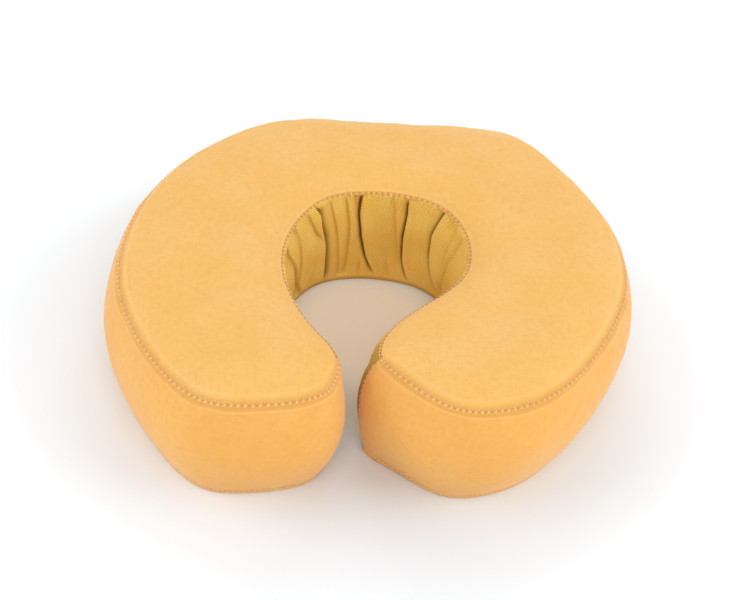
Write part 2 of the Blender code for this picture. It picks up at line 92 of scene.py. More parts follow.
PANEL_BASE = 2.7
PANEL_THICKNESS = 1.0
CLOTH = 1.2

# Seam
RIDGE_RISE = 0.34
RIDGE_SPREAD = 0.85
RIDGE_MEAN = 0.8  # of its rise, which wanders
QUIET = 0.7  # share of ridge and valley that is missing round the face hole
VALLEY_DEPTH = -0.45
VALLEY_SHARE = 0.45  # of the way to the ridge
VALLEY_SPREAD = 1.2
PUCKER_LEAN = 0.9  # radians of the puckers' turn for each mm from the seam
STITCH_PITCH = 3.9
STITCH_PITCH_INNER = 3.3
RIDGE_ON_TOP = 4.6  # the folded edges under the cloth, either side of the seam
RIDGE_ON_BAND = 3.7

# Rises and dips of the cloth: height, middle and spread
DITCH = (-0.55, 0, 0.7)
PIT = (-0.45, 0.3, 0.7)
PUCKER = (0.12, 2.2, 1.4)
CORNER_DITCH = (-0.6, 0, 0.9)
WELT = (0.9, 1.1, 0.65)
FOOT_GROOVE = (-0.5, 2.7, 0.6)
PANEL_HEM = (-0.25, 2.2, 1.0)
TAPE_CORD = (0.14, 3.3, 0.5)

# Folds of the gathered inner band: (mm along the band from the middle of the face hole, positive
# to the right, mm above the resting plane) from the top down, then depth and width in mm.
FOLDS = [
    ([(-42.5, 69), (-40.9, 66), (-34.2, 43.5), (-32.3, 32.2), (-29.3, 5)], 4.4, 1.7),
    ([(-10.4, 69), (-11.5, 55), (-9.1, 39.1), (-5.0, 22.6), (1.0, 8)], 4.0, 1.6),
    ([(16.0, 67), (17.0, 57.4), (16.5, 40.0), (17.7, 23.5), (22.4, 6)], 3.8, 1.5),
    ([(38.9, 69), (34.3, 49.5), (35.0, 33.5), (42.2, 5)], 4.4, 1.8),
    ([(-64.4, 69), (-60.0, 48.7), (-56.0, 26.9), (-54, 6)], 1.6, 4.0),
    ([(-50.2, 69), (-42.8, 51.3), (-36.0, 41)], 1.5, 2.8),
    ([(-31.0, 69), (-24.0, 35.6), (-20.1, 6)], 1.2, 2.4),
    ([(-20.9, 69), (-17.3, 48.7), (-16.1, 6)], 1.4, 2.2),
    ([(-15.0, 69), (-12.8, 54)], 1.0, 1.6),
    ([(7.3, 69), (12.2, 39.1), (17.0, 17)], 1.1, 2.4),
    ([(62.4, 67), (52.3, 36.5), (44.5, 8)], 1.3, 3.2),
    ([(51.5, 69), (47.4, 33.9)], 1.0, 2.6),
    ([(-83.0, 67), (-60.4, 27.8), (-47.0, 3)], 1.8, 3.2),
    ([(-8.3, 19), (-7.3, 5)], 1.3, 1.6),
    ([(7.6, 21), (10.4, 5)], 1.3, 1.8),
]


# ---------------------------------------------------------------- outline and profile

FADE_END = 50


def share(value):
    return np.clip(value, 0, 1)


def eased(value):
    return value * value * (3 - 2 * value)


def fade(value, middle, blend):
    """1 well below the middle, 0 well above it; the other way round with a blend below 0."""
    return 1 / (1 + np.exp(np.clip((value - middle) / blend, -FADE_END, FADE_END)))


def near(points, place, reach, power=2):
    """1 at a place, and less with the distance from it."""
    return np.exp(-((np.linalg.norm(points[..., :2] - np.array(place), axis=-1) / reach) ** power))


def bell(value, spread):
    return np.exp(-((value / spread) ** 2))


def bump(distance, height, middle, spread):
    return height * np.exp(-(((distance - middle) / spread) ** 2) / 2)


def unit(vectors):
    return vectors / np.linalg.norm(vectors, axis=-1, keepdims=True)


def lifted(flat, z):
    """Flat points or directions, with heights."""
    return np.concatenate([flat, np.broadcast_to(z, flat.shape[:-1])[..., None]], -1)


def closed_spline(points):
    """A closed cubic spline, with centripetal spans and SPLINE_STEPS samples on each."""
    count = len(points)
    spans = np.sqrt(np.linalg.norm(np.roll(points, -1, 0) - points, axis=1))
    system = np.zeros((count, count))
    bends = np.zeros((count, 2))
    for i in range(count):
        before, after, nxt = spans[i - 1], spans[i], (i + 1) % count
        system[i, i - 1], system[i, i], system[i, nxt] = before, 2 * (before + after), after
        bends[i] = 6 * ((points[nxt] - points[i]) / after - (points[i] - points[i - 1]) / before)
    second = np.linalg.solve(system, bends)
    curve = []
    for i in range(count):
        h, nxt = spans[i], (i + 1) % count
        for u in np.arange(SPLINE_STEPS) * h / SPLINE_STEPS:
            v = h - u
            curve.append(
                second[i] * v**3 / (6 * h) + second[nxt] * u**3 / (6 * h)
                + (points[i] / h - second[i] * h / 6) * v
                + (points[nxt] / h - second[nxt] * h / 6) * u
            )
    return np.array(curve)


class Edge:
    """The widest outline by its length s, clockwise from the crown's middle, and the side profile."""

    def __init__(self):
        curve = closed_spline(np.array(OUTLINE))
        curve -= (curve.min(0) + curve.max(0)) / 2
        ahead = np.roll(curve, -1, 0)
        tangent = unit(ahead - np.roll(curve, 1, 0))
        self.curve = np.vstack([curve, curve[:1]])
        self.normal = np.stack([-tangent[:, 1], tangent[:, 0]], 1)
        self.normal = np.vstack([self.normal, self.normal[:1]])
        self.length_at = np.r_[0, np.cumsum(np.linalg.norm(ahead - curve, axis=1))]
        self.length = self.length_at[-1]
        self.right_corner = self.length_at[RIGHT_CORNER * SPLINE_STEPS] + CORNER_SHIFT
        self.left_corner = self.length_at[LEFT_CORNER * SPLINE_STEPS]
        in_hole = np.arange(SPLINE_STEPS) + (HOLE_MIDDLE * SPLINE_STEPS)
        nearest = np.argmin(np.abs(self.curve[in_hole, 0] - HOLE_MIDDLE_X))
        self.hole_middle = self.length_at[in_hole[nearest]]

    def sample(self, s):
        """Points and outward normals of the widest outline at the lengths s."""
        s = np.mod(s, self.length)
        pick = lambda values: np.stack([np.interp(s, self.length_at, v) for v in values.T], -1)
        return pick(self.curve), unit(pick(self.normal))

    def insets(self, points):
        """How far the top seam and the base lie inside the widest outline."""
        hole = fade(np.linalg.norm(points, axis=-1), HOLE_REACH, HOLE_BLEND)
        lean = TIP_INSET * near(points, TIP_PLACE, TIP_REACH)
        lean = lean * fade(points[..., 0], GAP_MIDDLE, -GAP_BLEND)
        top = TOP_INSET + (TOP_INSET_HOLE - TOP_INSET) * hole + lean
        base = BASE_INSET + (BASE_INSET_HOLE - BASE_INSET) * hole
        return top, base

    def side(self, s, z, out=0.0):
        """Points of the side wall at lengths s and heights z, moved outward by out."""
        points, normals = self.sample(s)
        top, base = self.insets(points)
        level = z / SEAM_HEIGHT
        low = base * np.clip(1 - level / WIDEST_SHARE, 0, None) ** 2
        high = top * np.clip((level - WIDEST_SHARE) / (1 - WIDEST_SHARE), 0, None) ** 2
        return lifted(points + normals * (out - low - high)[..., None], z)

    def ring(self, s, inside):
        """Flat points at a distance inside the seam."""
        points, normals = self.sample(s)
        top, _ = self.insets(points)
        return points - normals * (top + inside)[..., None]


EDGE = Edge()


def crown_height(inside, roll=0.0):
    edge = PILLOW_EDGE + (ROLL_EDGE - PILLOW_EDGE) * roll
    run = PILLOW_RUN + (ROLL_RUN - PILLOW_RUN) * roll
    dome = (CROWN_RISE - edge) * (1 - (1 - share(inside / CROWN_RUN)) ** 2)
    return SEAM_HEIGHT + dome + edge * (1 - bell(inside, run))


PACES = (0.6, 1.5)  # of noise's waves, about the stated length


class Noise:
    """Smooth repeatable noise on a plane: a sum of seeded waves about one length."""

    def __init__(self, seed, length, size=1.0, waves=28):
        draw = np.random.default_rng(seed)
        angle = draw.uniform(0, 2 * math.pi, waves)
        pace = 2 * math.pi / length * draw.uniform(*PACES, waves)
        self.pace = np.stack([np.cos(angle) * pace, np.sin(angle) * pace])
        self.start = draw.uniform(0, 2 * math.pi, waves)
        self.scale = size * math.sqrt(2 / waves)

    def __call__(self, u, v):
        waves = zip(*self.pace, self.start)
        return self.scale * sum(np.sin(u * along + v * up + start) for along, up, start in waves)


# ---------------------------------------------------------------- meshes

def placed(name, data):
    made = bpy.data.objects.new(name, data)
    bpy.context.scene.collection.objects.link(made)
    return made


def piece(name, points, faces, material, node, body="cushion", uvs=None):
    """A mesh object that rides on a body and stands for a CAD node.

    uvs gives each UV map's coordinates, one per face corner.
    """
    mesh = bpy.data.meshes.new(name)
    mesh.from_pydata((np.asarray(points) * MM).tolist(), [], faces)
    for label, values in (uvs or {}).items():
        layer = mesh.uv_layers.new(name=label)
        layer.data.foreach_set("uv", np.asarray(values, np.float32).ravel())
    mesh.materials.append(material)
    mesh.polygons.foreach_set("use_smooth", [True] * len(mesh.polygons))
    mesh.validate()
    mesh.update()
    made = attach(placed(name, mesh), body)
    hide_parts(node)
    return made


class Shell:
    """Faces and face-corner UVs of cloth, from grids of points. UVs are in mm."""

    def __init__(self):
        self.points = []
        self.count = 0
        self.faces = []
        self.weave = []
        self.seam = []

    def add(self, points):
        """Stores points, and says how many were there before."""
        base = self.count
        self.points.append(points.reshape(-1, 3))
        self.count += points.size // 3
        return base

    def grid(self, points, weave, seam=None, wrap=False, flip=False):
        """Adds rows x columns points. With wrap, weave and seam have one more column than points."""
        seam = np.full_like(weave, PLAIN) if seam is None else seam
        rows, columns = points.shape[:2]
        base = self.add(points)
        last = columns if wrap else columns - 1
        r, c = np.meshgrid(np.arange(rows - 1), np.arange(last), indexing="ij")
        corners = [(r, c), (r, c + 1), (r + 1, c + 1), (r + 1, c)]
        if flip:
            corners.reverse()
        ids = np.stack([base + a * columns + b % columns for a, b in corners], -1)
        self.faces += ids.reshape(-1, 4).tolist()
        for store, values in ((self.weave, weave), (self.seam, seam)):
            store.append(np.stack([values[a, b] for a, b in corners], -2).reshape(-1, 2))
        return base + np.arange(rows * columns).reshape(rows, columns)

    def strip(self, first, second, closed=False, flip=False):
        """Joins two rows of points that are there already, as a hem."""
        first, second = list(first), list(second)
        if closed:
            first.append(first[0])
            second.append(second[0])
        for i in range(len(first) - 1):
            face = [first[i], first[i + 1], second[i + 1], second[i]]
            self.faces.append(face[::-1] if flip else face)
            for store in (self.weave, self.seam):
                store.append(np.full((4, 2), PLAIN))

    def hem(self, face, rear):
        """Joins two grids along all four of their sides."""
        self.strip(face[0], rear[0], flip=True)
        self.strip(face[-1], rear[-1])
        self.strip(face[:, 0], rear[:, 0])
        self.strip(face[:, -1], rear[:, -1], flip=True)

    def fill(self, points, rim, faces, weave, flip=False):
        """Adds faces over a rim that is there already and new points. faces count the rim first."""
        pick = np.r_[rim, self.add(points) + np.arange(len(points))].astype(int)
        for face in faces:
            order = face[::-1] if flip else face
            self.faces.append(pick[order].tolist())
            self.weave.append(weave[order])
            self.seam.append(np.full((len(order), 2), PLAIN))

    def made(self, name, material, slot, node, fill=None):
        """The finished piece. fill is not used."""
        uvs = {"Weave": np.concatenate(self.weave), "Seam": np.concatenate(self.seam)}
        made = piece(name, np.concatenate(self.points), self.faces, material, node, uvs=uvs)
        return made


PLAIN = 40.0  # a seam coordinate far from any stitch, in mm


# ---------------------------------------------------------------- materials

class Wiring:
    """A material's node tree, built by short calls."""

    def __init__(self, name, roughness, **constants):
        self.material = bpy.data.materials.new(name)
        self.material.use_nodes = True
        self.tree = self.material.node_tree
        self.shader = self.tree.nodes["Principled BSDF"]
        self.where = self.node("TexCoord").outputs["Object"]
        self.shader.inputs["Roughness"].default_value = roughness
        for label, value in constants.items():
            self.shader.inputs[label.replace("_", " ")].default_value = value

    def node(self, kind, *inputs, **settings):
        made = self.tree.nodes.new("ShaderNode" + kind)
        for label, value in settings.items():
            setattr(made, label, value)
        for place, value in enumerate(inputs):
            self.fill(made.inputs[place], value)
        return made

    def fill(self, socket, value):
        if value is None:
            return
        if isinstance(value, bpy.types.NodeSocket):
            self.tree.links.new(value, socket)
        else:
            socket.default_value = value

    def math(self, operation, *values):
        return self.node("Math", *values, operation=operation).outputs[0]

    def times(self, first, second):
        return self.math("MULTIPLY", first, second)

    def plus(self, first, second):
        return self.math("ADD", first, second)

    def minus(self, first, second):
        return self.math("SUBTRACT", first, second)

    def noise(self, scale, detail=2.0, roughness=0.5, where=None):
        made = self.node("TexNoise")
        settings = {"Vector": where or self.where, "Scale": scale, "Detail": detail,
                    "Roughness": roughness}
        for label, value in settings.items():
            self.fill(made.inputs[label], value)
        return made.outputs["Fac"]

    def cells(self, scale):
        """Distance from the middle of the nearest of many uneven cells."""
        made = self.node("TexVoronoi", feature="F1")
        self.fill(made.inputs["Vector"], self.where)
        made.inputs["Scale"].default_value = scale
        return made.outputs["Distance"]

    def stretched(self, where, stretch):
        return self.node("VectorMath", where, stretch, operation="MULTIPLY").outputs[0]

    def uv(self, label):
        return self.node("UVMap", uv_map=label).outputs[0]

    def split(self, vector):
        return list(self.node("SeparateXYZ", vector).outputs)

    def blend(self, factor, first, second):
        made = self.node("Mix", data_type="RGBA")
        colours = [socket for socket in made.inputs if socket.type == "RGBA"]
        self.fill(made.inputs["Factor"], factor)
        for socket, value in zip(colours, (first, second)):
            self.fill(socket, value if isinstance(value, bpy.types.NodeSocket) else (*value, 1))
        return next(socket for socket in made.outputs if socket.type == "RGBA")

    def band(self, value, centre, spread):
        """A soft window about a centre: 1 there, 0 beyond the spread."""
        away = self.math("ABSOLUTE", self.minus(value, centre))
        return self.ramp(away, spread, 0.0)

    def ramp(self, value, start, end):
        made = self.node("MapRange", value, start, end, 0.0, 1.0, interpolation_type="SMOOTHSTEP")
        return made.outputs[0]

    def wave(self, value, length):
        """-1 to 1 along a length."""
        return self.math("SINE", self.times(value, 2 * math.pi / length))

    def colour(self, value):
        self.fill(self.shader.inputs["Base Color"], value)

    def stitched(self, colour, spread, reach, strength):
        """A colour with painted shade in the pit beside each stitch of the top seam."""
        along, away, _ = self.split(self.uv("Seam"))
        phase = self.minus(self.math("FRACT", along), 0.5)
        pit_shade = self.times(self.band(phase, 0.0, spread), self.ramp(away, *reach))
        return self.blend(self.times(pit_shade, strength), colour, PAINTED_SEAM_SHADE)

    def bump(self, height, distance, strength=1.0):
        made = self.node("Bump")
        made.inputs["Strength"].default_value = strength
        made.inputs["Distance"].default_value = distance
        self.fill(made.inputs["Height"], height)
        self.tree.links.new(made.outputs[0], self.shader.inputs["Normal"])
        return self.material


AMBER = (0.95, 0.545, 0.155)
AMBER_PALE = (0.955, 0.58, 0.195)
AMBER_DEEP = (0.88, 0.46, 0.115)
BAND_SHADE_TINT = (0.92, 0.83, 0.72)  # painted shade: the bands are drawn deeper than the top panel, as their sides take less light
# Painted shade for the pits beside the stitches, and for the grooves of the shade thread
PAINTED_SEAM_SHADE = (0.66, 0.30, 0.055)
# Painted shade in the seam's valley, and a painted highlight on the folded edge beside it
VALLEY_SHADE = (0.74, 0.355, 0.085)
RIDGE_HIGHLIGHT = (0.985, 0.66, 0.30)
PIQUE = (0.98, 0.61, 0.115)
PIQUE_PALE = (0.99, 0.69, 0.17)
PIQUE_HOLE_SHADE = (0.40, 0.15, 0.010)
# Painted shade for the folds' creases, the foot hem and the gap
PIQUE_CREASE_SHADE = (0.20, 0.065, 0.004)
THREAD = (0.94, 0.68, 0.42)
THREAD_FINE = (0.96, 0.68, 0.36)
THREAD_SHADE = (0.90, 0.62, 0.32)
FOAM_CREAM = (0.86, 0.80, 0.62)
FOAM_WHITE = (0.88, 0.87, 0.82)
LOOP_BEIGE = (0.74, 0.50, 0.26)
TAPE_BEIGE = (0.74, 0.46, 0.19)
NYLON = (0.66, 0.43, 0.20)
ZINC = (0.62, 0.60, 0.57)


WEAVE_PITCH = 0.55
MESH_PITCH = 1.65
SLUB = (0.09, 1.6, 1.0)  # how the noise of the weft's thick places is stretched
CROSSED_SLUB = (1.6, 0.09, 1.0)
HANDLING = (1.0, 14.0, 6.0)  # the same for the marks on metal
ZIGZAG = 0.55  # the seam's overlock: how far it leans for each mm from the seam
RIB_LENGTH = 0.0009  # of the tape's herringbone, in metres
RIB_FOLD = 0.0011


def tinted(colour, *tint):
    """A colour times one factor, or times three."""
    return tuple(c * t for c, t in zip(colour, tint * (3 // len(tint))))


def microfibre(name, tint, ridge_at):
    """Brushed microfibre: fine weave, soft mottling and sheen, with painted shade in the seam's valley
    and stitch pits, and a painted highlight on the seam's folded edge.
    """
    w = Wiring(name, 0.9, Sheen_Weight=0.34, Sheen_Roughness=0.42,
               Sheen_Tint=(1.0, 0.88, 0.78, 1), Specular_IOR_Level=0.18)
    amber, pale, deep = (tinted(c, *tint) for c in (AMBER, AMBER_PALE, AMBER_DEEP))
    weave = w.uv("Weave")
    weave_x, weave_y, _ = w.split(weave)
    along, away, _ = w.split(w.uv("Seam"))
    colour = w.blend(w.ramp(w.noise(26.0, 3.0), 0.35, 0.68), amber, pale)
    patches = w.ramp(w.noise(330.0, 2.0, 0.6), 0.35, 0.8)
    colour = w.blend(w.times(patches, 0.5), colour, deep)
    threads = w.times(w.wave(weave_x, WEAVE_PITCH), w.wave(weave_y, WEAVE_PITCH))
    grain = w.plus(w.noise(1.0, 3.0, 0.6, w.stretched(weave, SLUB)),
                   w.noise(1.0, 3.0, 0.6, w.stretched(weave, CROSSED_SLUB)))
    colour = w.blend(w.times(w.ramp(grain, 0.8, 1.25), 0.34), colour, deep)
    # Painted shade in the valley beside the seam, marked by the overlock's zigzag, and a painted
    # highlight on its folded edge
    zigzag = w.wave(w.plus(w.times(along, 2.0), w.times(away, ZIGZAG)), 1.0)
    valley_shade = w.times(w.ramp(away, 4.4, 1.2), 0.66)
    valley_shade = w.times(valley_shade, w.plus(0.85, w.times(zigzag, 0.3)))
    colour = w.blend(valley_shade, colour, VALLEY_SHADE)
    colour = w.blend(w.times(w.band(away, ridge_at, 1.0), 0.2), colour, RIDGE_HIGHLIGHT)
    w.colour(w.stitched(colour, 0.3, (1.2, 0.35), 0.8))
    height = w.plus(w.times(threads, 0.35), w.times(w.noise(2600.0), 0.8))
    return w.bump(w.plus(height, w.times(grain, 1.1)), 0.00007, 0.6)


def pique():
    """Pique mesh: a diamond grid of small holes between raised cords, with painted shade in the holes
    and in the folds' creases.
    """
    w = Wiring("pique_mesh", 0.82, Sheen_Weight=0.1, Sheen_Roughness=0.5,
               Sheen_Tint=(1.0, 0.8, 0.5, 1), Specular_IOR_Level=0.2)
    u, v, _ = w.split(w.uv("Weave"))
    holes = w.ramp(w.times(w.wave(u, MESH_PITCH), w.wave(v, MESH_PITCH)), 0.15, 0.8)
    colour = w.blend(w.ramp(w.noise(60.0), 0.3, 0.7), PIQUE, PIQUE_PALE)
    # Painted shade inside the mesh's holes
    colour = w.blend(w.times(holes, 0.86), colour, PIQUE_HOLE_SHADE)
    colour = w.stitched(colour, 0.36, (1.5, 0.4), 0.65)
    # Painted shade in the creases, along the foot and into the gap, stored on the band
    painted_crease = w.node("Attribute", attribute_name="painted_crease").outputs["Fac"]
    w.colour(w.blend(painted_crease, colour, PIQUE_CREASE_SHADE))
    return w.bump(w.minus(w.times(w.noise(3000.0, 1.0), 0.3), holes), 0.00022, 0.8)


def twisted(name, colour, shade, pitch):
    """Sewing thread: two plies that turn about each other, with painted shade in the groove between
    them.
    """
    w = Wiring(name, 0.55, Sheen_Weight=0.25)
    x, y, z = w.split(w.where)
    plies = w.wave(w.plus(w.plus(x, y), z), pitch)
    fluff = w.noise(1800.0)
    groove_shade = w.times(w.ramp(plies, 0.3, -0.8), 0.6)
    w.colour(w.blend(groove_shade, w.blend(fluff, colour, tinted(colour, 0.93)), shade))
    return w.bump(w.plus(plies, fluff), 0.00005, 0.6)


def foam(name, colour):
    """Cut foam: open cells of uneven size."""
    w = Wiring(name, 0.95)
    shade = w.ramp(w.cells(900.0), 0.15, 0.6)
    dusty = w.blend(w.ramp(w.noise(40.0, 3.0), 0.3, 0.7), colour, tinted(colour, 0.9))
    w.colour(w.blend(w.times(shade, 0.35), dusty, tinted(colour, 0.55)))
    return w.bump(shade, 0.0004, 0.8)


def loop_pile():
    """The looped face of hook-and-loop tape: a dense tangle of fine loops, with painted shade low in
    the tangle and a painted highlight on the raised hairs.
    """
    w = Wiring("loop_pile", 0.85, Sheen_Weight=0.5, Sheen_Roughness=0.4)
    hairs = w.noise(2400.0, 3.0, 0.7)
    depth = w.times(w.cells(1300.0), hairs)
    light = tuple(min(c, 0.9) for c in tinted(LOOP_BEIGE, 1.25))
    # Painted shade where the pile is low, and a painted highlight on the raised hairs
    colour = w.blend(w.ramp(depth, 0.1, 0.45), tinted(LOOP_BEIGE, 0.5), LOOP_BEIGE)
    w.colour(w.blend(w.ramp(hairs, 0.5, 0.75), colour, light))
    return w.bump(w.plus(depth, hairs), 0.0006, 0.9)


def woven_tape():
    """Zip tape: a tight herringbone weave, with painted shade in its grooves and darker random grain.
    """
    w = Wiring("zip_tape", 0.75, Sheen_Weight=0.15)
    x, y, _ = w.split(w.where)
    ribs = w.wave(w.plus(x, w.times(w.math("PINGPONG", y, RIB_FOLD), 0.8)), RIB_LENGTH)
    grain = w.noise(1500.0)
    groove_shade_and_grain = tinted(TAPE_BEIGE, 0.62)
    # Painted shade in the rib grooves; the grain below is random tone
    colour = w.blend(w.ramp(ribs, 0.2, -0.9), TAPE_BEIGE, groove_shade_and_grain)
    w.colour(w.blend(w.times(grain, 0.3), colour, groove_shade_and_grain))
    return w.bump(w.plus(ribs, grain), 0.00015, 0.8)


def nylon():
    """Moulded nylon monofilament, slightly see-through."""
    w = Wiring("nylon_coil", 0.32, Subsurface_Weight=0.15, Subsurface_Scale=0.001)
    w.colour(w.blend(w.noise(300.0), NYLON, tinted(NYLON, 0.8)))
    return w.bump(w.noise(1800.0), 0.00004, 0.5)


def zinc():
    """Die-cast zinc, plated, with fine handling marks."""
    w = Wiring("zinc", 0.3, Metallic=1.0)
    marks = w.noise(420.0, 3.0, 0.7, w.stretched(w.where, HANDLING))
    w.colour(w.blend(w.ramp(w.noise(180.0, 4.0), 0.35, 0.75), ZINC, tinted(ZINC, 0.78)))
    rough = w.node("MapRange", marks, 0.3, 0.8, 0.24, 0.46).outputs[0]
    w.fill(w.shader.inputs["Roughness"], rough)
    return w.bump(marks, 0.00005, 0.35)


TOP_MICROFIBRE = microfibre("microfibre_top", (1, 1, 1), RIDGE_ON_TOP)
# The bands and the underside use a copy of the microfibre darkened as painted shade
SHADED_BAND_MICROFIBRE = microfibre("microfibre_band_shaded", BAND_SHADE_TINT, RIDGE_ON_BAND)
PIQUE_MESH = pique()
SEAM_THREAD = twisted("seam_thread", THREAD, THREAD_SHADE, 0.0009)
FINE_THREAD = twisted("fine_thread", THREAD_FINE, AMBER_DEEP, 0.0007)
SHADE_THREAD = twisted("shade_thread", AMBER_DEEP, PAINTED_SEAM_SHADE, 0.0007)
BASE_FOAM = foam("base_foam", FOAM_CREAM)
COMFORT_FOAM = foam("comfort_foam", FOAM_WHITE)
LOOP_PILE = loop_pile()
ZIP_TAPE = woven_tape()
NYLON_COIL = nylon()
ZINC_METAL = zinc()


# ---------------------------------------------------------------- the cover

SEAM_ENDS = np.array([
    EDGE.left_corner - EDGE.length, EDGE.right_corner, EDGE.left_corner,
    EDGE.right_corner + EDGE.length,
])
OUTER_STITCHES = round((SEAM_ENDS[1] - SEAM_ENDS[0]) / STITCH_PITCH)
INNER_STITCHES = round((SEAM_ENDS[2] - SEAM_ENDS[1]) / STITCH_PITCH_INNER)
STITCHES = OUTER_STITCHES + INNER_STITCHES
TURNS_AT_ENDS = np.array([-OUTER_STITCHES, 0, INNER_STITCHES, STITCHES])
STITCH_STEPS = 4


def turns_at(s):
    """Stitches counted along the top seam, from the right corner."""
    return np.interp(s, SEAM_ENDS, TURNS_AT_ENDS)


def length_at(turns):
    return np.interp(turns, TURNS_AT_ENDS, SEAM_ENDS)


def rolled(points):
    """Where the panel rolls steeply over the seam: round the crown, and along the gap."""
    reach = np.linalg.norm(points[..., :2], axis=-1)
    crown = share((points[..., 1] - ROLL_FROM_Y) / ROLL_OVER_Y)
    crown = crown * share((reach - ROLL_FROM) / ROLL_OVER)
    return np.maximum(crown, near(points, ROLL_MIDDLE, ROLL_REACH, 4))


SLICE = 400


def inside_loop(points, loop):
    """Whether each point lies inside a closed flat loop."""
    x, y = points[:, :1], points[:, 1:2]
    x0, y0 = loop[:, 0], loop[:, 1]
    x1, y1 = np.roll(loop, -1, 0).T
    crossed = (y0 > y) != (y1 > y)
    with np.errstate(divide="ignore", invalid="ignore"):
        at = x0 + (y - y0) * (x1 - x0) / (y1 - y0)
    return (np.where(crossed, x < at, False).sum(1) % 2) == 1


def distance_to(points, loop):
    """Distance of each point from the nearest corner of a loop, in slices to save memory."""
    slices = np.array_split(points, len(points) // SLICE + 1)
    return np.concatenate([np.linalg.norm(part[:, None] - loop, axis=2).min(1) for part in slices])


def filled(loop, spacing, margin):
    """Triangles over the inside of a loop, on its own corners and a staggered grid. All face up."""
    low, high = loop.min(0), loop.max(0)
    rows = np.arange(low[1], high[1], spacing * math.sqrt(3) / 2)
    grid = np.array([
        (x, y) for i, y in enumerate(rows)
        for x in np.arange(low[0] + spacing / 2 * (i % 2), high[0], spacing)
    ])
    grid = grid[inside_loop(grid, loop)]
    points = np.vstack([loop, grid[distance_to(grid, loop) > margin]])
    found = delaunay_2d_cdt([Vector(p) for p in points], [], [list(range(len(loop)))], 1, MERGE)
    assert len(found[0]) == len(points)
    faces = []
    for face in found[2]:
        a, b, c = points[face[:3]]
        rises = (b[0] - a[0]) * (c[1] - a[1]) > (b[1] - a[1]) * (c[0] - a[0])
        faces.append(list(face if rises else face[::-1]))
    return points, faces


SWELL = Noise(3, 55, 0.55)
DIMPLE = Noise(5, 17, 0.10)
RIDGE_WANDER = Noise(11, 36, RIDGE_MEAN)
SIDE_SWELL = Noise(17, 85, 0.35)
SIDE_DIMPLE = Noise(19, 15, 0.12)
BAND_SLOPE = 1.137  # distance down the band for each mm of height, beside the top seam
INNER_SLOPE = 1.03
TOP_RINGS = [0, 0.45, 0.9, 1.4, 2.0, 2.7, 3.4, 4.1, 4.8, 5.6, 6.7, 8.0]
BAND_TOP_ROWS = [0, 0.4, 0.8, 1.25, 1.8, 2.4, 3.05, 3.8, 4.5, 5.5, 6.8]  # below the top seam
BAND_FOOT_ROWS = [5.8, 4.6, 3.8, 3.2, 2.7, 2.3, 1.9, 1.5, 1.1, 0.7, 0.4]  # above the resting plane
INNER_TOP_ROWS = [0, 0.35, 0.7, 1.1, 1.6, 2.2, 3.0, 3.9]
INNER_FOOT_ROWS = [4.5, 3.8, 3.2, 2.7, 2.3, 1.9, 1.5, 1.1, 0.7, 0.4]


def hole_share(s):
    return fade(np.linalg.norm(EDGE.sample(s)[0], axis=-1), QUIET_REACH, HOLE_BLEND)


def seam_shape(s, away, ridge_at, ridge_rise):
    """How far the cloth stands proud beside the top seam, at a distance from it."""
    turns = turns_at(s)
    ridge = ridge_rise * np.clip(RIDGE_MEAN + RIDGE_WANDER(s, 0), 0, 2)
    folded = bump(away, ridge, ridge_at, RIDGE_SPREAD)
    folded = folded + bump(away, VALLEY_DEPTH, ridge_at * VALLEY_SHARE, VALLEY_SPREAD)
    rise = bump(away, *DITCH) + np.sin(np.pi * turns) ** 2 * bump(away, *PIT)
    pucker = np.sin(2 * np.pi * turns + PUCKER_LEAN * away) * bump(away, *PUCKER)
    return rise + (1 - QUIET * hole_share(s)) * folded + pucker


def seam_uv(s, away):
    """The Seam map: stitches along the seam, and mm away from it. The face hole has no painted valley
    shade.
    """
    past = hole_share(s) * share((away - 0.6) / 0.8)
    return np.stack([turns_at(s), away + 2.6 * past + 1.1 * rolled(EDGE.sample(s)[0])], -1)


def top_height(points, inside):
    x, y = points[..., 0], points[..., 1]
    swell = share(inside / SWELL_RUN) ** SWELL_EASE * SWELL(x, y)
    return crown_height(inside, rolled(points)) + swell + share(inside / DIMPLE_RUN) * DIMPLE(x, y)


def cover_top():
    """The top panel: fine rings beside the seam, and a staggered grid inside them."""
    s = length_at(turns_at(0) + np.arange(STITCHES * STITCH_STEPS + 1) / STITCH_STEPS)
    s, inside = np.meshgrid(s, TOP_RINGS)
    flat = EDGE.ring(s, inside)
    height = top_height(flat, inside) + seam_shape(s, inside, RIDGE_ON_TOP, RIDGE_RISE)
    rings = lifted(flat, height)[:, :-1]
    shell = Shell()
    front = shell.grid(rings, flat, seam_uv(s, inside), wrap=True, flip=True)
    back = shell.grid(rings - [0, 0, CLOTH], flat, wrap=True)
    shell.strip(front[0], back[0], closed=True)
    loop = flat[-1, :-1]
    points, faces = filled(loop, 3.4, 2.0)
    inner = points[len(loop):]
    crown = lifted(inner, top_height(inner, distance_to(inner, flat[0, :-1])))
    shell.fill(crown, front[-1], faces, points)
    shell.fill(crown - [0, 0, CLOTH], back[-1], faces, points, flip=True)
    shell.made("cover_top_panel_cloth", TOP_MICROFIBRE, "microfibre", "cover_top_panel", 0.95)


def foot_shape(z):
    """The groove of the bottom seam, and the folded welt below it."""
    return bump(z, *WELT) + bump(z, *FOOT_GROOVE)


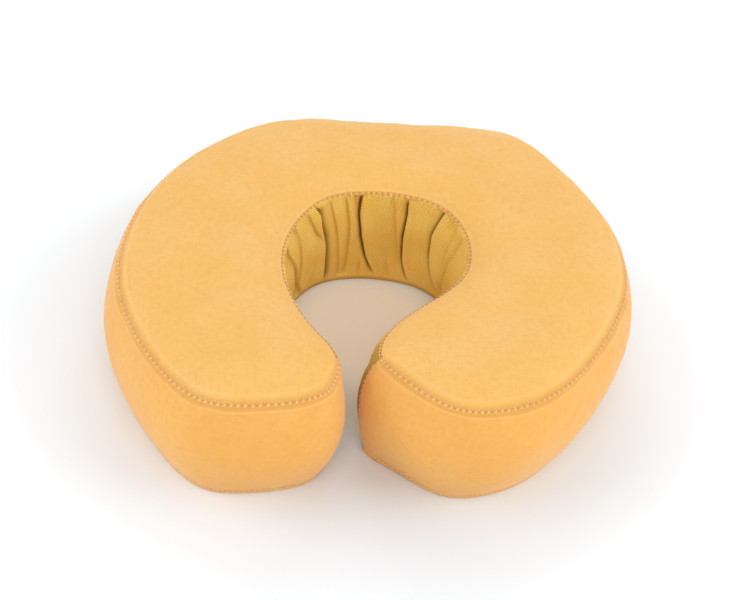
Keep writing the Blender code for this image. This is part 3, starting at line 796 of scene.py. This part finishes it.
def cover_outer():
    """The outer band, from the left horn's corner round the crown to the right horn's."""
    start, end = SEAM_ENDS[:2]
    middle_rows = np.linspace(SEAM_HEIGHT - 8.6, 7.6, 28)
    z = np.concatenate([SEAM_HEIGHT - np.array(BAND_TOP_ROWS), middle_rows, BAND_FOOT_ROWS])
    s, height = np.meshgrid(np.linspace(start, end, round(end - start) + 1), z)
    down = (SEAM_HEIGHT - height) * BAND_SLOPE
    out = seam_shape(s, down, RIDGE_ON_BAND, RIDGE_RISE) + foot_shape(height)
    middle = np.sin(np.pi * share(height / SEAM_HEIGHT)) ** 0.7
    out += middle * (SIDE_SWELL(s, height * 0.7) + SIDE_DIMPLE(s, height))
    out += bump(s - start, *CORNER_DITCH) + bump(s - end, *CORNER_DITCH)
    front = EDGE.side(s, height, out)
    back = EDGE.side(s, height, np.minimum(out, 0) - CLOTH)
    banded("cover_outer_band", front, back, s, height, s, SHADED_BAND_MICROFIBRE, "microfibre")


def banded(node, front, back, s, height, across, material, slot):
    """A band's piece: two faces, and the hems between them."""
    weave = np.stack([across, height], -1)
    shell = Shell()
    face = shell.grid(front, weave, seam_uv(s, (SEAM_HEIGHT - height) * BAND_SLOPE))
    rear = shell.grid(back, weave, flip=True)
    shell.hem(face, rear)
    return shell.made(node + "_cloth", material, slot, node, 0.9)


PLEAT = Noise(23, 4.6)
PLEAT_SIZE = Noise(29, 21, 0.5)
HEM = Noise(31, 5.6)
PUFF = Noise(37, 19, 0.5)
PUFF_MIDDLE = 0.9
PLEAT_DEPTH = 0.8
PLEAT_SOFTNESS = 0.02
COLUMN, FINE_COLUMN = 0.5, 0.25
INNER_DEPTH = 5.2  # of the gathered band with its folds
THINNEST = 0.6
ENDS_RUN = 9  # the gathers fade out this far from the corner seams
SPREAD_REACH = 9  # and this far from the two hems
LEFT_LIP_LAPS = 1  # folds, from the first, whose left lip laps over; on the others the right one does
LIP_STEEPNESS = 0.34  # spread of a fold's steep side, as a share of its width
FULL_DEPTH = 4  # a fold this deep laps and darkens fully
CREASE_SHADE = 0.9
HEM_SHADE = 0.55
GAP_SHADE_RUN = 20  # the mesh is darker this far into the gap
GAP_FOLDS_STEP, GAP_FOLDS_END = 13.0, 190
MORE_FOLDS = np.random.default_rng(41)


def all_folds():
    """The folds round the face hole, and lesser ones down both sides of the gap."""
    folds = list(FOLDS)
    for side, first in ((1, 78), (-1, 97)):
        for place in np.arange(first, GAP_FOLDS_END, GAP_FOLDS_STEP):
            x = side * (place + MORE_FOLDS.uniform(-3, 3))
            lean = MORE_FOLDS.uniform(-6, 6)
            low = MORE_FOLDS.uniform(4, 26)
            path = [(x, 69), (x + lean * 0.4, 44), (x + lean, low)]
            folds.append((path, MORE_FOLDS.uniform(0.7, 1.6), MORE_FOLDS.uniform(2.0, 3.4)))
    return folds


def gather(x, z):
    """Depth of the folds, their sideways lap and the painted shade of their creases, on the inner
    band.
    """
    depth, lap, painted_crease = np.zeros((3, *x.shape))
    for number, (path, deep, wide) in enumerate(all_folds()):
        path = np.array(path[::-1], float)
        line = np.interp(z, path[:, 1], path[:, 0])
        for _ in range(6):
            line[1:-1] = (line[:-2] + 2 * line[1:-1] + line[2:]) / 4
        low, high = path[0, 1], path[-1, 1]
        grow = eased(share((z - low + 3) / 9) * share((high + 1.5 - z) / 7))
        lip = 1 if number < LEFT_LIP_LAPS else -1
        away = (line - x) * lip
        lapping = away > 0
        fold = np.where(lapping, bell(away, LIP_STEEPNESS * wide), np.exp(-np.abs(away) / wide))
        depth += deep * grow * (fold - 0.22 * bell(away - 1.7 * wide, 1.5 * wide))
        reach = bell(away, 1.6 * wide) * lapping
        lap += lip * 0.55 * wide * (deep / FULL_DEPTH) * grow * reach * (1 - fold)
        open_side = (0.75 * wide + 0.3) * (1.9 if lip > 0 else 1.0)
        shade = bell(away, np.where(lapping, 0.30 * wide + 0.25, open_side))
        painted_crease = np.maximum(painted_crease, shade * grow * min(deep / FULL_DEPTH, 1) ** 1.5)
    return depth, lap, painted_crease


def inner_columns(start, end):
    """Lengths along the inner band: closer together where the deep folds are."""
    low, high = EDGE.hole_middle - 52, EDGE.hole_middle + 60
    return np.concatenate([
        np.linspace(start, low, round((low - start) / COLUMN), endpoint=False),
        np.linspace(low, high, round((high - low) / FINE_COLUMN), endpoint=False),
        np.linspace(high, end, round((end - high) / COLUMN) + 1),
    ])


def pleats(noise, size):
    """Sharp little valleys along a noise's zeros."""
    return PLEAT_DEPTH * (0.8 - np.minimum(np.sqrt(noise**2 + PLEAT_SOFTNESS), 1.2)) * size


def cover_inner():
    """The inner band: pique mesh gathered into folds round the face hole and along the gap."""
    start, end = EDGE.right_corner, EDGE.left_corner
    middle_rows = np.linspace(SEAM_HEIGHT - 4.9, 5.2, 60)
    z = np.concatenate([SEAM_HEIGHT - np.array(INNER_TOP_ROWS), middle_rows, INNER_FOOT_ROWS])
    s, height = np.meshgrid(inner_columns(start, end), z)
    down = SEAM_HEIGHT - height
    ends = share((s - start) / ENDS_RUN) * share((end - s) / ENDS_RUN)
    held = share(down / 2.2) * share((height - 2.2) / 3.0) * ends
    depth, lap, painted_crease = gather(EDGE.hole_middle - s, height)
    size = np.clip(1 + PLEAT_SIZE(s, 0 * s), 0.2, 1.8)
    gathers = pleats(PLEAT(s + height * 0.12, height * 0.1), size) * np.exp(-down / 9)
    gathers += pleats(HEM(s - height * 0.2, height * 0.12), size) * np.exp(-(height - 2) / 7)
    puff = PUFF(s, height * 0.5) + PUFF_MIDDLE * np.sin(np.pi * share(height / SEAM_HEIGHT))
    out = held * (puff - depth - gathers) + 0.5 * foot_shape(height)
    out += seam_shape(s, down * INNER_SLOPE, RIDGE_ON_BAND, 0.0)
    out += bump(s - start, *CORNER_DITCH) + bump(s - end, *CORNER_DITCH)
    lined = share(down / SPREAD_REACH) * share((height - 2.5) / SPREAD_REACH) * ends
    room = -CLOTH - (INNER_DEPTH - CLOTH) * lined
    front = EDGE.side(s - lap * held, height, np.maximum(out, room + THINNEST))
    back = EDGE.side(s, height, room)
    across = np.r_[0, np.cumsum(np.linalg.norm(np.diff(front, axis=1), axis=2).mean(0))] + 0 * s
    made = banded("cover_inner_band", front, back, s, height, across, PIQUE_MESH, "gathered_mesh")
    # Painted shade: in the creases, along the foot hem and into the gap
    shade = np.maximum(CREASE_SHADE * painted_crease * held, HEM_SHADE * share((3.4 - height) / 2))
    shade = np.maximum(shade, HEM_SHADE * bell(s - start, GAP_SHADE_RUN)).ravel()
    store = made.data.attributes.new("painted_crease", "FLOAT", "POINT")
    store.data.foreach_set("value", np.r_[shade, 0 * shade].astype(np.float32))


# ---------------------------------------------------------------- stitches

def capsule(sides=8, rings=5):
    """A thread's short length along X: unit half-length and unit radius."""
    points, faces = [], []
    for i in range(rings + 1):
        turn = math.pi * i / rings
        swell = math.sin(turn) ** 0.6 if 0 < i < rings else 0.0
        for k in range(sides):
            roll = 2 * math.pi * k / sides
            points.append((-math.cos(turn), swell * math.cos(roll), swell * math.sin(roll)))
    for i in range(rings):
        for k in range(sides):
            a, b = i * sides + k, i * sides + (k + 1) % sides
            faces.append([a, a + sides, b + sides, b])
    return np.array(points), faces


def stitches(name, places, along, up, length, radius, material, node):
    """One thread's stitches, as one mesh: a short arched length at each place."""
    shape, faces = capsule()
    local = shape * [length / 2, radius, radius]
    local[:, 2] += (1 - 0.5 * shape[:, 0] ** 2) * radius / 2
    along = unit(along)
    side = unit(np.cross(up, along))
    frames = np.stack([along, side, np.cross(along, side)], 1)
    every = [[i * len(shape) + k for k in face] for i in range(len(places)) for face in faces]
    points = (places[:, None] + local @ frames).reshape(-1, 3)
    return piece(name, points, every, material, node)


def top_seam(name, numbers, node, length, radius, turn, seed):
    """Stitches across the top seam's ditch, turned a little and slightly uneven."""
    draw = np.random.default_rng(seed)
    s = length_at(numbers + draw.uniform(-0.05, 0.05, len(numbers)))
    flat = EDGE.ring(s, 0)
    outward = lifted(EDGE.sample(s)[1], 0)
    tangent = np.cross(outward, UP)
    proud = outward * SEAM_SINE + UP * SEAM_COSINE
    across = outward * SEAM_COSINE - UP * SEAM_SINE
    lean = np.radians(turn + draw.uniform(-9, 9, len(s)))[:, None]
    along = across * np.cos(lean) + tangent * np.sin(lean)
    sunk = SUNK + SUNK_IN_ROLL * rolled(flat)
    places = lifted(flat, SEAM_HEIGHT) - proud * sunk[:, None]
    stitches(name, places, along, proud, length, radius, SEAM_THREAD, node)


def foot_seam(name, start, end, node, out, material):
    """Stitches along the bottom seam's groove."""
    s = np.arange(start + FOOT_PITCH, end - FOOT_PITCH, FOOT_PITCH)
    z = np.full(len(s), FOOT_GROOVE[1])
    places = EDGE.side(s, z, out)
    up = lifted(EDGE.sample(s)[1] * FOOT_OUTWARD, FOOT_DOWNWARD)
    stitches(name, places, EDGE.side(s + STEP, z, out) - places, up, FOOT_LENGTH, FOOT_RADIUS,
             material, node)


def corner_seam(side, s):
    """Stitches up a horn's corner seam."""
    z = np.arange(5, SEAM_HEIGHT - 4, CORNER_PITCH)
    s = np.full(len(z), s)
    places = EDGE.side(s, z, CORNER_OUT)
    stitches(f"stitches_corner_{side}", places, EDGE.side(s, z + STEP, CORNER_OUT) - places,
             lifted(EDGE.sample(s)[1], 0), 2.5, 0.34, FINE_THREAD, f"thread_{side}_corner_seam")


UP = np.array([0, 0, 1.0])
STEP = 0.5
SEAM_SINE, SEAM_COSINE = 0.55, 0.84  # of the tilt of the top seam's ditch
SUNK, SUNK_IN_ROLL = 0.42, 0.4
FOOT_PITCH, FOOT_LENGTH, FOOT_RADIUS = 3.2, 2.112, 0.36
FOOT_OUTWARD, FOOT_DOWNWARD = 0.85, -0.5
CORNER_PITCH, CORNER_OUT = 3.6, -0.5
LOCK_PITCH, LOCK_LENGTH, LOCK_RADIUS = 2.9, 2.1, 0.26  # lockstitching on the underside


def all_seams():
    outer, hole = np.arange(1 - OUTER_STITCHES, 0), np.arange(1, INNER_STITCHES)
    top_seam("stitches_top_outer", outer, "thread_top_outer_seam", 1.7, 0.38, 24, 51)
    top_seam("stitches_hole", hole, "thread_hole_seam", 1.45, 0.33, 8, 53)
    foot_seam("stitches_foot_outer", *SEAM_ENDS[:2], "thread_bottom_outer_seam", -0.25, FINE_THREAD)
    foot_seam("stitches_foot_inner", *SEAM_ENDS[1:3], "thread_bottom_inner_seam", -0.4, SHADE_THREAD)
    corner_seam("right", EDGE.right_corner)
    corner_seam("left", EDGE.left_corner)


# ---------------------------------------------------------------- foam

def foam_layer(name, low, high, top, bottom, material):
    """A closed foam layer under the cloth, with its own top and bottom heights."""
    s, height = np.meshgrid(np.arange(FOAM_COLUMNS) / FOAM_COLUMNS * EDGE.length,
                            np.linspace(high, low, 12))
    near_corner = np.minimum(s - EDGE.right_corner, EDGE.left_corner - s)
    inset = FOAM_INSET + FOAM_EXTRA * share(near_corner / 12)
    wall = EDGE.side(s, height, -inset)
    shell = Shell()
    ids = shell.grid(wall, np.zeros((len(s), FOAM_COLUMNS + 1, 2)), wrap=True)
    for row, shape, flip in ((0, top, False), (-1, bottom, True)):
        loop = wall[row, :, :2]
        points, faces = filled(loop, 7, 4)
        lid = lifted(points, shape(points, distance_to(points, loop)))
        shell.fill(lid[FOAM_COLUMNS:], ids[row], faces, points, flip)
    shell.made(name, material, name.replace("foam_", "") + "_foam", f"{name}_layer", 1.0)


FOAM_COLUMNS = 520
FOAM_INSET = 1.7
FOAM_EXTRA = 4.0  # behind the gathered band
FOAM_SPLIT, FOAM_GAP = 45, 0.5
FOAM_BASE = 4
CHANNEL_DEPTH = 3.4  # for the zip
CHANNEL_HALF = (82, 13)
CHANNEL_SLOPE = 5
CELLS = Noise(61, 9, 0.12)


def foams():
    flat = lambda z: lambda points, depth: z + CELLS(points[:, 0], points[:, 1])

    def crowned(points, depth):
        return crown_height(depth + 1.5) - 2.2

    def channelled(points, depth):
        past = np.abs(points - np.array([0, ZIP_Y])) - np.array(CHANNEL_HALF)
        return FOAM_BASE + CHANNEL_DEPTH * np.prod(1 - share(past / CHANNEL_SLOPE), axis=1)

    upper = FOAM_SPLIT + FOAM_GAP
    foam_layer("foam_base", FOAM_BASE, FOAM_SPLIT, flat(FOAM_SPLIT), channelled, BASE_FOAM)
    foam_layer("foam_comfort", upper, SEAM_HEIGHT - 2.6, crowned, flat(upper), COMFORT_FOAM)


# ---------------------------------------------------------------- underside

ZIP_Y = 95
ZIP_HALF_LENGTH = 68
SLOT_HALF_WIDTH = 4
SLOT_EXTRA = 7
TAPE_EXTRA = 10
TAPE_INNER = 2.5
TAPE_OUTER = 12
TAPE_BASE = 4
TAPE_THICKNESS = 0.6
COIL_PITCH = 1.7
UNDER_SWELL = Noise(67, 34, 0.22)
UNDER_LIFT = 0.25  # of the panel's middle above its hem
PANEL_STEP = 1.4


def spaced(corners, step):
    """Points along straight runs, about one step apart, without the last corner."""
    corners, points = np.array(corners, float), []
    for a, b in zip(corners[:-1], corners[1:]):
        count = max(1, round(np.linalg.norm(b - a) / step))
        points += [a + (b - a) * i / count for i in range(count)]
    return np.array(points)


def bottom_panel(place, side):
    """One half of the underside cloth, hemmed along the zip."""
    s = np.arange(0, EDGE.length, PANEL_STEP)
    ring = EDGE.side(s, np.full(len(s), PANEL_BASE + 0.5), -0.9)[:, :2]
    cut = ZIP_Y + side * 0.15
    keep = (ring[:, 1] - cut) * side > 0
    first = np.where(keep & ~np.roll(keep, 1))[0][0]
    kept = np.roll(ring, -first, 0)[np.roll(keep, -first)]
    slot = side * (ZIP_HALF_LENGTH + SLOT_EXTRA)
    edge = ZIP_Y + side * SLOT_HALF_WIDTH
    start, end = kept[-1], kept[0]
    corners = [start, (start[0], cut), (slot, cut), (slot, edge),
               (-slot, edge), (-slot, cut), (end[0], cut), end]
    loop = np.vstack([kept[:-1], spaced(corners, PANEL_STEP)])
    points, faces = filled(loop, 3.2, 1.8)
    depth = distance_to(points, loop)
    sag = share(depth / 10) * UNDER_SWELL(points[:, 0], points[:, 1])
    low = lifted(points, PANEL_BASE + UNDER_LIFT + sag + bump(depth, *PANEL_HEM))
    shell = Shell()
    shell.fill(low, [], faces, points, flip=True)
    shell.fill(low + [0, 0, PANEL_THICKNESS], [], faces, points)
    rim = np.arange(len(loop))
    shell.strip(rim, len(points) + rim, closed=True, flip=side > 0)
    shell.made(f"cover_bottom_{place}_cloth", SHADED_BAND_MICROFIBRE, "microfibre",
               f"cover_bottom_panel_{place}", 0.3)


def slab(xs, ys, low, high):
    """A closed slab over a grid, with its own lower and upper heights."""
    x, y = np.meshgrid(xs, ys)
    shell, flat = Shell(), np.stack([x, y], -1)
    shell.hem(shell.grid(lifted(flat, high(x, y)), flat),
              shell.grid(lifted(flat, low(x, y)), flat, flip=True))
    return shell


def zip_tape(place, side):
    """A woven tape with a corded edge beside the coil."""
    half = ZIP_HALF_LENGTH + TAPE_EXTRA
    ys = np.sort(ZIP_Y + side * np.linspace(TAPE_INNER, TAPE_OUTER, 16))
    ripple = Noise(71 + side, 26, 0.05)

    def under(x, y):
        ribs = TAPE_RIB * np.sin(2 * np.pi * x / 1.8)
        return TAPE_BASE + 0.16 + ripple(x, y) - bump(np.abs(y - ZIP_Y), *TAPE_CORD) - ribs

    over = lambda x, y: TAPE_BASE + TAPE_THICKNESS - 0.1 + ripple(x, y)
    shell = slab(np.linspace(-half, half, 260), ys, under, over)
    shell.made(f"zip_tape_{place}_cloth", ZIP_TAPE, "zip_tape", f"zip_tape_{place}")


def tube(points, radius, sides):
    """Points and faces of a round tube along a line."""
    ahead = unit(np.gradient(points, axis=0))
    side = unit(np.cross(ahead, TUBE_SIDE))
    lift = np.cross(side, ahead)
    roll = (np.arange(sides) * 2 * np.pi / sides)[:, None]
    ring = np.cos(roll) * side[:, None] + np.sin(roll) * lift[:, None]
    count = len(points)
    faces = [
        [i + k, i + (k + 1) % sides, i + sides + (k + 1) % sides, i + sides + k]
        for i in range(0, (count - 1) * sides, sides) for k in range(sides)
    ]
    faces.append(list(range(sides))[::-1])
    faces.append([(count - 1) * sides + k for k in range(sides)])
    return (points[:, None] + radius * ring).reshape(-1, 3), faces


def zip_coil(place, side):
    """A nylon coil: flattened turns whose heads meet the other coil's."""
    turns = round(2 * ZIP_HALF_LENGTH / COIL_PITCH)
    t = np.arange(turns * COIL_STEPS + 1) / COIL_STEPS
    angle = 2 * np.pi * t
    stagger = 0.0 if side > 0 else 0.25
    x = -ZIP_HALF_LENGTH + (t + stagger) * COIL_PITCH * (1 - 0.5 / turns)
    y = ZIP_Y + side * (COIL_MIDDLE - COIL_REACH * np.cos(angle))
    z = COIL_HEIGHT + COIL_RISE * np.sin(angle)
    points, faces = tube(np.stack([x, y, z], 1), COIL_RADIUS, 7)
    piece(f"zip_coil_{place}_turns", points, faces, NYLON_COIL, f"zip_coil_{place}")


TUBE_SIDE = (0.13, 0.21, 0.97)
TAPE_RIB = 0.03
COIL_STEPS = 14
COIL_MIDDLE, COIL_REACH = 1.17, 0.85
COIL_HEIGHT, COIL_RISE, COIL_RADIUS = 4.3, 0.5, 0.29
STRIPS = {  # middle, angle, length, width and seed
    "left": ((-85, -60), math.radians(107), 100, 25, 80),
    "right": ((77, -56), math.radians(65), 100, 25, 83),
    "crown": ((3, 71), 0.0, 100, 22, 86),
}
STRIP_THICKNESS = 2.4
SELVEDGE = 2
SELVEDGE_THICKNESS = 0.8
PILE_ROUGHNESS = 0.16
PILE_GAP = 0.36  # between the pile's mean height and the resting plane


def turned(made, centre, angle):
    place = Matrix.Translation(Vector((*centre, 0)) * MM)
    made.data.transform(place @ Matrix.Rotation(angle, 4, "Z"))


def loop_strip(side):
    """A strip of loop tape: a tangled pile between flat woven selvedges, stitched all round."""
    centre, angle, length, width, seed = STRIPS[side]
    tangle, tufts = Noise(seed, 1.9, waves=40), Noise(seed + 1, 5.5, 0.6, 30)

    def under(x, y):
        inside = np.minimum(width / 2 - np.abs(y) - SELVEDGE, length / 2 - np.abs(x) - 0.6)
        rough = PILE_ROUGHNESS * (tangle(x, y) + tufts(x, y))
        full = np.clip(PILE_GAP + rough, 0.02, None)
        flat = STRIP_THICKNESS - SELVEDGE_THICKNESS + 0.05 * tangle(x * 0.7, y * 0.7)
        return flat + (full - flat) * eased(share(inside / 0.9))

    shell = slab(np.linspace(-length / 2, length / 2, 150), np.linspace(-width / 2, width / 2, 46),
                 under, lambda x, y: np.full(x.shape, STRIP_THICKNESS))
    turned(shell.made(f"loop_pile_{side}", LOOP_PILE, "loop_pile", f"loop_strip_{side}"),
           centre, angle)
    x, y = length / 2 - 1.1, width / 2 - 1.0
    flat = spaced([(-x, -y), (x, -y), (x, y), (-x, y), (-x, -y)], LOCK_PITCH)
    places = lifted(flat, STRIP_THICKNESS - SELVEDGE_THICKNESS - 0.02)
    made = stitches(f"stitches_loop_{side}", places, np.roll(places, -1, 0) - places, -UP,
                    LOCK_LENGTH, LOCK_RADIUS, FINE_THREAD, f"thread_loop_{side}")
    turned(made, centre, angle)


def zip_stitches(place, side):
    """Lockstitching along the slot, through panel and tape."""
    x = np.arange(-ZIP_HALF_LENGTH - 4, ZIP_HALF_LENGTH + 5.1, LOCK_PITCH)
    y = np.full(len(x), ZIP_Y + side * (SLOT_HALF_WIDTH + 2.2))
    places = lifted(np.stack([x, y], 1), PANEL_BASE - 0.08)
    along = np.tile([1.0, 0, 0], (len(x), 1))
    stitches(f"stitches_zip_{place}", places, along, -UP, LOCK_LENGTH, LOCK_RADIUS, FINE_THREAD,
             f"thread_zip_{place}")


def underside():
    for builds in ((bottom_panel,), (zip_tape, zip_coil, zip_stitches)):
        for place, side in (("front", -1), ("rear", 1)):
            for build in builds:
                build(place, side)
    for side in STRIPS:
        loop_strip(side)


METAL_PARTS = {
    # body, rounding of the upright corners past a reach from the middle, and of every edge
    "zip_slider": ("zip_slider", 1.3, 4, 0.14),
    "zip_pull": ("zip_pull", 0.95, 0.0, 0.16),
    "zip_stop_left": ("cushion", 0.5, 0.0, 0.3),
    "zip_stop_right": ("cushion", 0.5, 0.0, 0.3),
}


FLAT = math.radians(1)
CREASED = math.radians(30)
SHARP = math.radians(35)
UPRIGHT = 0.99


def bevel(shape, edges, offset, segments):
    bmesh.ops.bevel(shape, geom=edges, offset=offset * MM, segments=segments, profile=0.5,
                    affect="EDGES", clamp_overlap=True)


def metal_parts():
    """The zip's cast parts: their CAD shapes, with rounded corners and edges."""
    for node, (body, corner, reach, rim) in METAL_PARTS.items():
        source, shape = bpy.data.objects[node], bmesh.new()
        shape.from_mesh(source.data)
        shape.transform(source.matrix_world)
        bmesh.ops.remove_doubles(shape, verts=shape.verts, dist=MERGE * MM)
        bmesh.ops.dissolve_limit(shape, angle_limit=FLAT, verts=shape.verts,
                                 edges=shape.edges)
        box = np.array([vert.co for vert in shape.verts])
        middle = Vector((box.min(0) + box.max(0)) / 2)
        upright = []
        for edge in shape.edges:
            run = edge.verts[0].co - edge.verts[1].co
            away = (edge.verts[0].co - middle).to_2d().length
            if abs(run.z) > UPRIGHT * run.length and away > reach * MM:
                upright.append(edge)
        bevel(shape, upright, corner, 5)
        sharp = [edge for edge in shape.edges if edge.calc_face_angle(0) > CREASED]
        bevel(shape, sharp, rim, 2)
        shape.verts.index_update()
        points = np.array([vert.co for vert in shape.verts]) / MM
        faces = [[vert.index for vert in face.verts] for face in shape.faces]
        shape.free()
        made = piece(f"{node}_casting", points, faces, ZINC_METAL, node, body)
        made.data.set_sharp_from_angle(angle=SHARP)


cover_top()
cover_outer()
cover_inner()
all_seams()
foams()
underside()
metal_parts()


# ---------------------------------------------------------------- studio

def floor():
    """A pale sweep that glows: more away from the object, so the darker halo round it is partly
    painted shadow, and with a painted amber bounce light under the face hole.
    """
    mesh = bpy.data.meshes.new("studio_floor")
    size = FLOOR_REACH
    mesh.from_pydata([(-size, -size, 0), (size, -size, 0), (size, size, 0), (-size, size, 0)], [],
                     [(0, 1, 2, 3)])
    w = Wiring("studio_floor", 0.95, Specular_IOR_Level=0.0, Base_Color=FLOOR)
    reach = w.node("VectorMath", w.where, operation="LENGTH").outputs["Value"]
    behind = w.node("VectorMath", w.where, GLOW_MIDDLE, operation="DISTANCE").outputs["Value"]
    # Painted light: an amber bounce glows under the face hole, and the floor glows less near the
    # object
    under = w.ramp(behind, 0.066, 0.03)
    w.fill(w.shader.inputs["Emission Color"], w.blend(under, (1, 1, 1), HOLE_BOUNCE_COLOUR))
    glow = w.times(w.ramp(reach, 0.095, 0.25), FLOOR_GLOW)
    glow = w.plus(glow, w.times(under, HOLE_GLOW))
    glow = w.plus(glow, w.times(w.ramp(reach, 0.7, 2.5), FAR_GLOW))
    w.fill(w.shader.inputs["Emission Strength"], glow)
    mesh.materials.append(w.material)
    placed("studio_floor", mesh)


FLOOR = (0.775, 0.815, 0.855, 1)
FLOOR_GLOW = 0.31
HOLE_GLOW = 0.17
FAR_GLOW = 0.8
FLOOR_REACH = 60.0
# Colour of the painted bounce light under the face hole
HOLE_BOUNCE_COLOUR = (1.0, 0.62, 0.34)
GLOW_MIDDLE = (0, 0.008, 0)


def aimed(made, place, target, roll=0.0):
    """Puts an object at a place, with its -Z at the target, rolled about that line."""
    turn = (Vector(target) - Vector(place)).to_track_quat("-Z", "Y").to_matrix().to_4x4()
    made.matrix_world = Matrix.Translation(place) @ turn @ Matrix.Rotation(roll, 4, "Z")
    return made


def softbox(name, place, target, size, watts):
    light = bpy.data.lights.new(name, "AREA")
    light.shape = "RECTANGLE"
    light.size, light.size_y = size
    light.energy = watts
    aimed(placed(name, light), place, target)


SOFTBOXES = [  # name, place, target, size and watts
    ("light_left", (-2.4, -0.3, 1.35), (0, 0, 0), (2.0, 1.6), 26),
    ("light_right", (2.4, -0.3, 1.35), (0, 0, 0), (2.0, 1.6), 31),
    ("light_high", (0, -1.8, 2.25), (0, 0, 0), (1.8, 1.6), 28),
    ("light_front", (0, -2.5, 0.95), (0, 0, 0.03), (1.8, 0.8), 2),
    ("light_back", (0, 2.4, 1.5), (0, 0, 0), (2.0, 1.4), 21),
]
DAYLIGHT = 0.32
HAZE = (0.06, 0.16)  # heights on the unit sphere between which the pale horizon fades


def daylight(strength):
    """Even light from above, over a white horizon."""
    world = bpy.data.worlds.new("studio")
    world.use_nodes = True
    bpy.context.scene.world = world
    tree = world.node_tree
    background = tree.nodes["Background"]
    background.inputs["Color"].default_value = (1, 1, 1, 1)
    direction = tree.nodes.new("ShaderNodeTexCoord").outputs["Generated"]
    split = tree.nodes.new("ShaderNodeSeparateXYZ")
    tree.links.new(direction, split.inputs[0])
    fade = tree.nodes.new("ShaderNodeMapRange")
    tree.links.new(split.outputs[2], fade.inputs["Value"])
    fade.interpolation_type = "SMOOTHSTEP"
    for label, value in zip(("From Min", "From Max", "To Min", "To Max"), (*HAZE, 1.0, strength)):
        fade.inputs[label].default_value = value
    tree.links.new(fade.outputs[0], background.inputs["Strength"])


CAMERA_PLACE = (-0.035616, -0.582760, 0.529622)
CAMERA_TARGET = (-0.018026, 0.002012, 0.03)
CAMERA_ROLL = math.radians(6.579)
CAMERA_LENS = 62.79
CAMERA_SHIFT = (0.04585, -0.00519)


def camera():
    data = bpy.data.cameras.new("camera")
    data.sensor_width = 36
    data.lens = CAMERA_LENS
    data.shift_x, data.shift_y = CAMERA_SHIFT
    made = aimed(placed("camera", data), CAMERA_PLACE, CAMERA_TARGET, CAMERA_ROLL)
    bpy.context.scene.camera = made


floor()
daylight(DAYLIGHT)
for light in SOFTBOXES:
    softbox(*light)
camera()
bpy.context.scene.view_settings.view_transform = "Standard"
